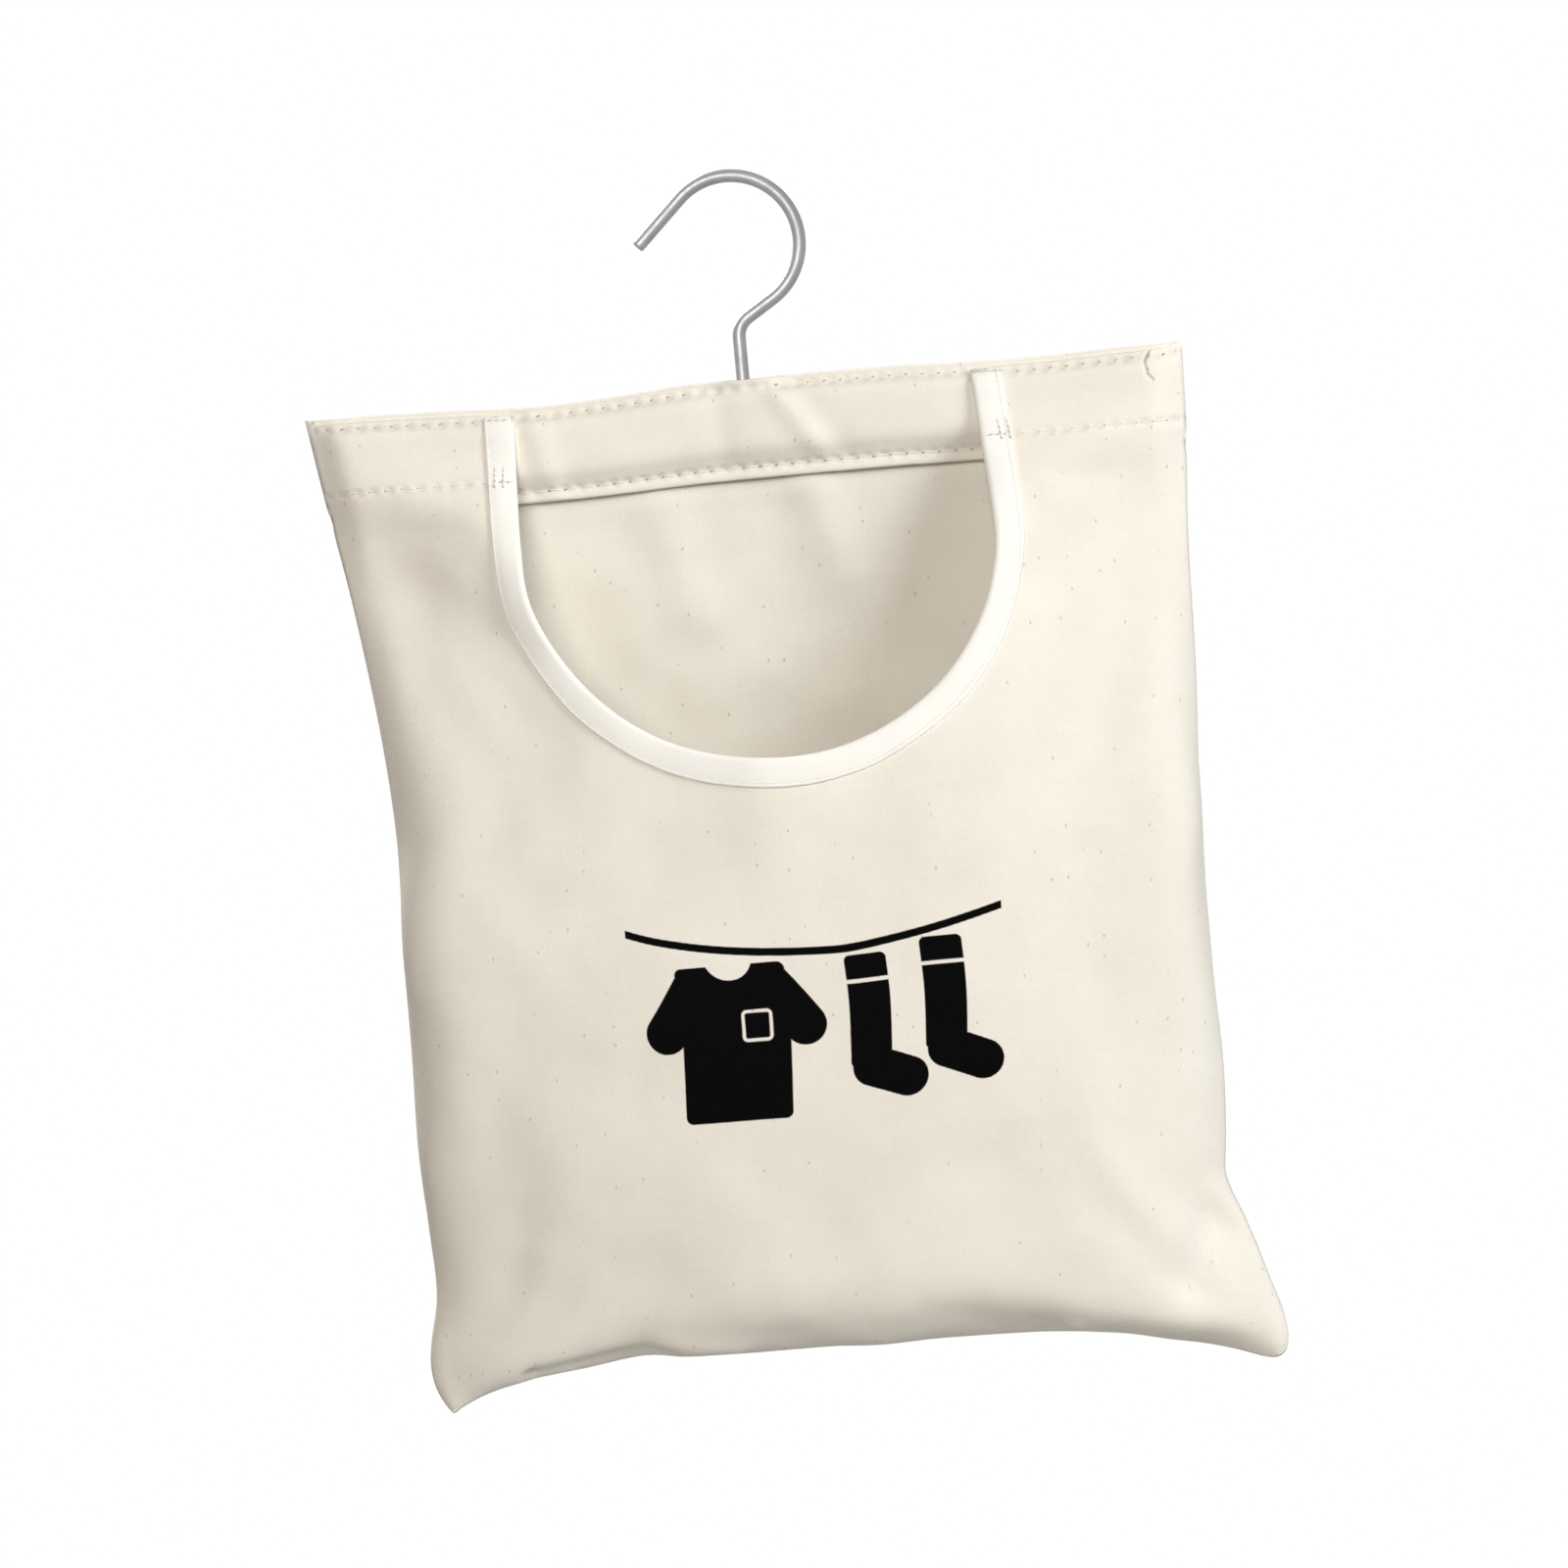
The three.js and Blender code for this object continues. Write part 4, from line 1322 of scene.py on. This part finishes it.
def makeBinding(material):
    edge, length = evenly(openingEdge(), tape["stations"])
    ahead = unitRows(np.gradient(edge, axis=0))
    outward = np.column_stack([-ahead[:, 1], ahead[:, 0]])  # from the opening into the cloth
    width, thick, puff, stations = tape["width"], tape["thickness"], tape["puff"], tape["stations"]
    reaches = np.linspace(0, width, tape["columns"])
    grid = np.empty((len(reaches), stations, 3))
    normals = np.empty((len(reaches), stations, 3))
    for r, reach in enumerate(reaches):
        for s in range(stations):
            u, v = edge[s] + outward[s] * (reach + cloth["gap"])
            grid[r, s], normals[r, s] = frontSurface.at(u, max(v, cloth["shoulderDrop"]))
        smoothLine(grid[r], tape["smoothing"][0])
        smoothLine(normals[r], tape["smoothing"][1])
    normals /= np.linalg.norm(normals, axis=2)[..., None]
    span = 2 * tape["wallSpan"] + 1
    wall = np.where(edge[:, 1] < header["hemStitch"] + layers, layers, cloth["thickness"])
    wall = np.convolve(np.pad(wall, tape["wallSpan"], mode="edge"), np.ones(span) / span, mode="valid")

    def at(reach, lift, under):
        place = np.clip(reach / width * (len(reaches) - 1), 0, len(reaches) - 1)
        low = min(int(place), len(reaches) - 2)
        t = place - low
        point = grid[low] * (1 - t) + grid[low + 1] * t
        normal = normals[low] * (1 - t) + normals[low + 1] * t
        if reach < 0:
            point = point - unitRows(grid[0] - grid[1]) * reach
        return point - normal * (wall[:, None] + lift) if under else point + normal * lift

    dip = width - tape["stitchInset"], thick + puff * 0.55
    skin = [(width, 0.00005), (width + 0.00012, thick * 0.6), (width - 0.0002, thick + puff * 0.8),
            (width - 0.0008, thick + puff), dip, (width - 0.0019, thick + puff),
            (width * 0.5, thick + puff * 0.9), (0.0012, thick + puff), (0.0002, thick + puff * 0.6),
            (-0.0005, thick * 0.5)]
    outer = [at(reach, lift, False) for reach, lift in skin]
    fold = at(-0.0008, 0, False) - normals[0] * (wall / 2)[:, None]
    inner = [at(reach, lift, True) for reach, lift in skin][::-1]
    lined = (width * 0.98, width * 0.5, 0.0004)
    lining = [at(reach, tape["lining"], True) for reach in lined]
    lining += [at(reach, tape["lining"], False) for reach in lined[::-1]]
    rings = [*outer, fold, *inner, *lining]
    count = len(rings)
    points = np.stack(rings, axis=1).reshape(-1, 3)  # station by station
    steps = [float(np.mean(np.linalg.norm(after - ring, axis=1))) for ring, after in zip(rings, rings[1:])]
    around = np.cumsum([0] + steps)
    along = np.linspace(0, length, stations)
    flat = np.column_stack([np.repeat(along, count), np.tile(around, stations)])
    faces = tubeFaces(stations, count)
    faces.append(tuple(range(count))[::-1])
    faces.append(tuple((stations - 1) * count + k for k in range(count)))
    data = toMesh("opening_binding_tape", points, faces, flat)
    made = toObject("opening_binding_tape", data, material)
    return made, (length, 2 * width + layers + 2 * thick), (at(*dip, False), at(*dip, True), normals[-2])


bindingPiece, bindingFlat, bindingRows = makeBinding(tapeMaterial)
faceOutwards(bindingPiece.data)
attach(bindingPiece, "bag")
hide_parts("opening_binding")
print("piece: opening_binding_tape, length", round(bindingFlat[0], 4))


# Stitches: one tree lays a thread and a dark bead at its needle hole at every point; the bead's colour is
# painted shade in the hole

stitch = {
    "pitch": 0.005,
    "thread": 0.00045,
    "threadShare": 0.74,  # of the pitch, between two needle holes
    "holeLength": 0.0013,
    "holeWidth": 0.0007,
    "slant": math.radians(22),
    "jitter": math.radians(6),
    "sink": 0.00002,
    "step": 0.001,  # of the points that a row is traced with
}

tack = {
    "across": (0.0058, 0.0085),  # from the opening's edge to each bar
    "top": 0.018,
    "bottom": 0.0255,
    "lean": 0.001,
    "pitch": 0.0019,
    "inner": 0.0015,  # the rows over the tape start and end this far inside its edges
    "outer": 0.0005,
    "rowPitch": 0.0022,
    "sizes": {"Stitch length": 0.0013, "Thread width": 0.0005, "Hole offset": 0.00095, "Hole length": 0.0013,
              "Hole width": 0.0008, "Hole shade material": tackShade},
}


def addSocket(tree, name, kind, value=None, way="INPUT"):
    made = tree.interface.new_socket(name=name, in_out=way, socket_type="NodeSocket" + kind)
    if value is not None:
        made.default_value = value


def stitchTree():
    tree = bpy.data.node_groups.new("stitches", "GeometryNodeTree")
    sizes = {"Stitch length": stitch["pitch"] * stitch["threadShare"], "Thread width": stitch["thread"],
             "Hole offset": stitch["pitch"] / 2, "Hole length": stitch["holeLength"],
             "Hole width": stitch["holeWidth"], "Slant": stitch["slant"], "Jitter": stitch["jitter"]}
    addSocket(tree, "Points", "Geometry")
    for name, size in sizes.items():
        addSocket(tree, name, "Float", size)
    addSocket(tree, "Seed", "Int", 7)
    addSocket(tree, "Thread material", "Material")
    addSocket(tree, "Hole shade material", "Material")
    addSocket(tree, "Stitches", "Geometry", way="OUTPUT")

    def add(kind, settings=None, sockets=None, give=0):
        return addNode(tree, kind, settings, sockets).outputs[give]

    def maths(operation, first, second):
        return add("ShaderNodeMath", {"operation": operation}, {0: first, 1: second})

    def named(name):
        return add("GeometryNodeInputNamedAttribute", {"data_type": "FLOAT_VECTOR"}, {"Name": name})

    given = addNode(tree, "NodeGroupInput").outputs
    along = named("along")
    upright = add("FunctionNodeAlignRotationToVector", {"axis": "Z"}, {"Vector": named("outward")})
    turned = add("FunctionNodeAlignRotationToVector", {"axis": "X", "pivot_axis": "Z"},
                 {"Rotation": upright, "Vector": along})
    ends = {2: maths("MULTIPLY", given["Jitter"], -1.0), 3: given["Jitter"], "Seed": given["Seed"]}
    chance = add("FunctionNodeRandomValue", {"data_type": "FLOAT"}, ends, 1)

    def lay(points, turn, size, material, rings):
        own = add("FunctionNodeEulerToRotation", {}, {0: add("ShaderNodeCombineXYZ", {}, {2: turn})})
        both = add("FunctionNodeRotateRotation", {"rotation_space": "LOCAL"}, {0: turned, 1: own})
        bead = add("GeometryNodeMeshUVSphere", {}, {"Segments": 8, "Rings": rings, "Radius": 0.5})
        scale = add("ShaderNodeCombineXYZ", {}, dict(enumerate(size)))
        shaped = add("GeometryNodeTransform", {}, {0: bead, "Scale": scale})
        sockets = {"Points": points, "Instance": shaped, "Rotation": both}
        real = add("GeometryNodeRealizeInstances", {}, {0: add("GeometryNodeInstanceOnPoints", {}, sockets)})
        return add("GeometryNodeSetMaterial", {}, {"Geometry": real, "Material": material})

    offset = add("ShaderNodeVectorMath", {"operation": "SCALE"}, {0: along, "Scale": given["Hole offset"]})
    moved = add("GeometryNodeSetPosition", {}, {"Geometry": given["Points"], "Offset": offset})
    thread = (given["Stitch length"], given["Thread width"], maths("MULTIPLY", given["Thread width"], 0.8))
    hole = (given["Hole length"], given["Hole width"], maths("MULTIPLY", given["Hole width"], 0.35))
    threads = lay(given["Points"], chance, thread, given["Thread material"], 6)
    # the holes: dark beads whose colour is painted shade in each needle hole
    holes = lay(moved, maths("ADD", given["Slant"], chance), hole, given["Hole shade material"], 4)
    joined = addNode(tree, "GeometryNodeJoinGeometry")
    tree.links.new(holes, joined.inputs[0])
    tree.links.new(threads, joined.inputs[0])
    smoothed = add("GeometryNodeSetShadeSmooth", {}, {0: joined.outputs[0]})
    addNode(tree, "NodeGroupOutput", {}, {0: smoothed})
    return tree


stitches = stitchTree()


# Points a pitch apart on a line, the way that the line runs there, and what its values are there
def stepAlong(line, values, pitch):
    lengths = lengthsOf(line)
    want = np.arange(pitch / 2, lengths[-1], pitch)
    ways = between(want + pitch / 4, lengths, line) - between(want - pitch / 4, lengths, line)
    return between(want, lengths, line), unitRows(ways), between(want, lengths, values)


def sewRow(surface, start, end, pitch=stitch["pitch"], lift=0.0):
    count = max(2, int(math.dist(start, end) / stitch["step"]))
    spots = [surface.at(*(a + (b - a) * t for a, b in zip(start, end))) for t in np.linspace(0, 1, count)]
    line, ups = (np.array(values) for values in zip(*spots))
    points, ways, outward = stepAlong(line, ups, pitch)
    return points + outward * (lift - stitch["sink"]), ways, outward


# A row at one depth of the flat cloth
def sewLevel(surface, start, end, depth):
    return sewRow(surface, (start, depth), (end, depth))


def sew(name, rows, sizes=None):
    points, ways, outward = (np.vstack(parts) for parts in zip(*rows))
    data = bpy.data.meshes.new(name)
    data.from_pydata([tuple(p) for p in points], [], [])
    for key, values in (("along", ways), ("outward", outward)):
        data.attributes.new(key, "FLOAT_VECTOR", "POINT").data.foreach_set("vector", values.ravel())
    made = toObject(name, data)
    sewing = made.modifiers.new("sewing", "NODES")
    sewing.node_group = stitches
    values = {"Thread material": threadMaterial, "Hole shade material": holeShadeMaterial, **(sizes or {})}
    for item in stitches.interface.items_tree:
        if item.in_out == "INPUT" and item.name in values:
            sewing[item.identifier] = values[item.name]
    made = settle(made)
    for key in ("along", "outward"):
        if key in made.data.attributes:
            made.data.attributes.remove(made.data.attributes[key])
    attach(made, "bag")
    print("piece:", name, len(points), "stitches")
    return made


rowInset = 0.002
rowEnd = halfWidth - rowInset
mouthHalf = opening["topHalf"]
mouthEnd = mouthHalf - rowInset
wireClear = (-0.0206, 0.005)
topRow = header["topStitch"]
shoulderRow = cloth["shoulderStitch"]
bandRow = header["bandStitch"]
hemRow = header["hemStitch"]
tapeEdge = mouthHalf + tape["width"]

seamThreads = sew("top_seam_stitches", [
    sewLevel(bandSurface, -mouthEnd, wireClear[0], topRow),
    sewLevel(bandSurface, wireClear[1], mouthEnd, topRow),
    sewLevel(backSurface, rowEnd, wireClear[1], topRow),
    sewLevel(backSurface, wireClear[0], -rowEnd, topRow),
    sewLevel(frontSurface, -rowEnd, -tapeEdge, shoulderRow),
    sewLevel(frontSurface, tapeEdge, rowEnd, shoulderRow),
])
bandThreads = sew("band_stitches", [
    sewLevel(bandSurface, -tapeEdge, tapeEdge, bandRow),
    sewLevel(backSurface, rowEnd, -rowEnd, bandRow),
])
hemThreads = sew("shoulder_hem_stitches", [
    sewLevel(frontSurface, -rowEnd, -tapeEdge, hemRow),
    sewLevel(frontSurface, tapeEdge, rowEnd, hemRow),
], {"Hole length": 0.0008, "Hole width": 0.0004})

# the rows run on over the tape, and a double bar of stitches locks its edge to the hem
tapeTop = tape["thickness"] + tape["puff"]
tacks = []
for side in (-1, 1):
    ends = (side * (mouthHalf + tack["inner"]), side * (tapeEdge - tack["outer"]))
    for row in (shoulderRow, hemRow):
        tacks.append(sewRow(frontSurface, (ends[0], row), (ends[1], row), tack["rowPitch"], tapeTop))
    for across in tack["across"]:
        start = (side * (mouthHalf + across), tack["top"])
        end = (side * (mouthHalf + across + tack["lean"]), tack["bottom"])
        tacks.append(sewRow(frontSurface, start, end, tack["pitch"], tapeTop))
tackThreads = sew("bar_tack_stitches", tacks, tack["sizes"])

fine = {
    "pitch": 0.003,
    "sizes": {"Stitch length": 0.0022, "Thread width": 0.00032, "Hole offset": 0.0015, "Hole length": 0.0005,
              "Hole width": 0.00025},
}
bindingStitches = []
for line, side in ((bindingRows[0], 1), (bindingRows[1], -1)):
    bindingStitches.append(stepAlong(line, side * bindingRows[2], fine["pitch"]))
bindingThreads = sew("binding_stitches", bindingStitches, fine["sizes"])


# Hook: one wire with an upset head. Its crown's radius and its foot come from the frame's box

hookedWire = {
    "startDegrees": -58,
    "endDegrees": 134,
    "tip": 0.0195,
    "neckBend": 0.007,
    "headRadius": 0.0026,
    "headThickness": 0.0016,
    "dome": 0.0006,
    "steps": {"shank": 24, "bend": 20, "neck": 10, "crown": 110, "tip": 16},
    "sides": 28,
    "chamfer": 0.0005,
}


def makeHook(material):
    crownRadius = hookBox[1].x - wireRadius
    crown = np.array([0, 0, wireRadius - crownRadius])
    start, end = (math.radians(hookedWire[k]) for k in ("startDegrees", "endDegrees"))
    bend = hookedWire["neckBend"]

    def onCircle(centre, radius, angle):
        return centre + radius * np.array([math.cos(angle), 0, math.sin(angle)])

    crownStart = onCircle(crown, crownRadius, start)
    neck = onCircle(np.zeros(3), 1, start - math.pi / 2)
    corner = crownStart - neck * crownStart[0] / neck[0]
    trim = bend * math.tan(-start / 2)
    bendTop = corner - neck * trim
    shankTop = np.array([0, 0, corner[2] - trim])
    bendCentre = np.array([bend, 0, shankTop[2]])
    headFoot = hookBox[0].z
    headTop = headFoot + hookedWire["headThickness"]
    steps = hookedWire["steps"]
    line = [np.array([0, 0, z]) for z in np.linspace(headTop, shankTop[2], steps["shank"])]
    line += [onCircle(bendCentre, bend, a) for a in np.linspace(math.pi, math.pi + start, steps["bend"])[1:]]
    line += [bendTop + (crownStart - bendTop) * t for t in np.linspace(0, 1, steps["neck"])[1:]]
    line += [onCircle(crown, crownRadius, a) for a in np.linspace(start, end, steps["crown"])[1:]]
    away = onCircle(np.zeros(3), 1, end + math.pi / 2)
    tipEnd = line[-1] + away * hookedWire["tip"]
    chamfer = hookedWire["chamfer"]
    line += [line[-1] + (tipEnd - line[-1]) * t for t in np.linspace(0, 1, steps["tip"])[1:-1]]
    line.append(tipEnd - away * chamfer)
    line = np.array(line)
    ways = unitRows(np.gradient(line, axis=0))
    ways[-1] = away
    up = np.array([0, 0, 1.0])
    head, dome = hookedWire["headRadius"], hookedWire["dome"]
    levels = [(headFoot, head - dome), (headFoot + dome, head), (headTop - dome / 3, head),
              (headTop, head - dome / 3)]
    rings = [(np.array([0, 0, z]), up, radius) for z, radius in levels]
    rings += [(p, w, wireRadius) for p, w in zip(line, ways)]
    rings.append((tipEnd - away * chamfer * 0.25, away, wireRadius - chamfer * 0.6))
    rings.append((tipEnd, away, wireRadius - chamfer * 1.4))
    sides = hookedWire["sides"]
    points = []
    across = np.array([0, 1.0, 0])
    for centre, way, radius in rings:
        side = np.cross(across, way)
        for k in range(sides):
            turn = 2 * math.pi * k / sides
            points.append(centre + radius * (math.cos(turn) * side + math.sin(turn) * across))
    faces = tubeFaces(len(rings), sides)
    for r in (0, len(rings) - 1):
        centre = len(points)
        points.append(rings[r][0])
        for k in range(sides):
            a, b = r * sides + k, r * sides + (k + 1) % sides
            faces.append((centre, b, a) if r == 0 else (centre, a, b))
    data = toMesh("hook_wire", points, faces)
    faceOutwards(data)
    return toObject("hook_wire", data, material)


hookPiece = makeHook(steelMaterial)
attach(hookPiece, "hook")
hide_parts("hook")
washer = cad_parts["hook_washer"]
paintWith(washer.data, steelFinish("washer_steel"))
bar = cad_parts["hanger_bar"]
paintWith(bar.data, woodFinish())
print("piece: hook_wire, hook_washer and hanger_bar")
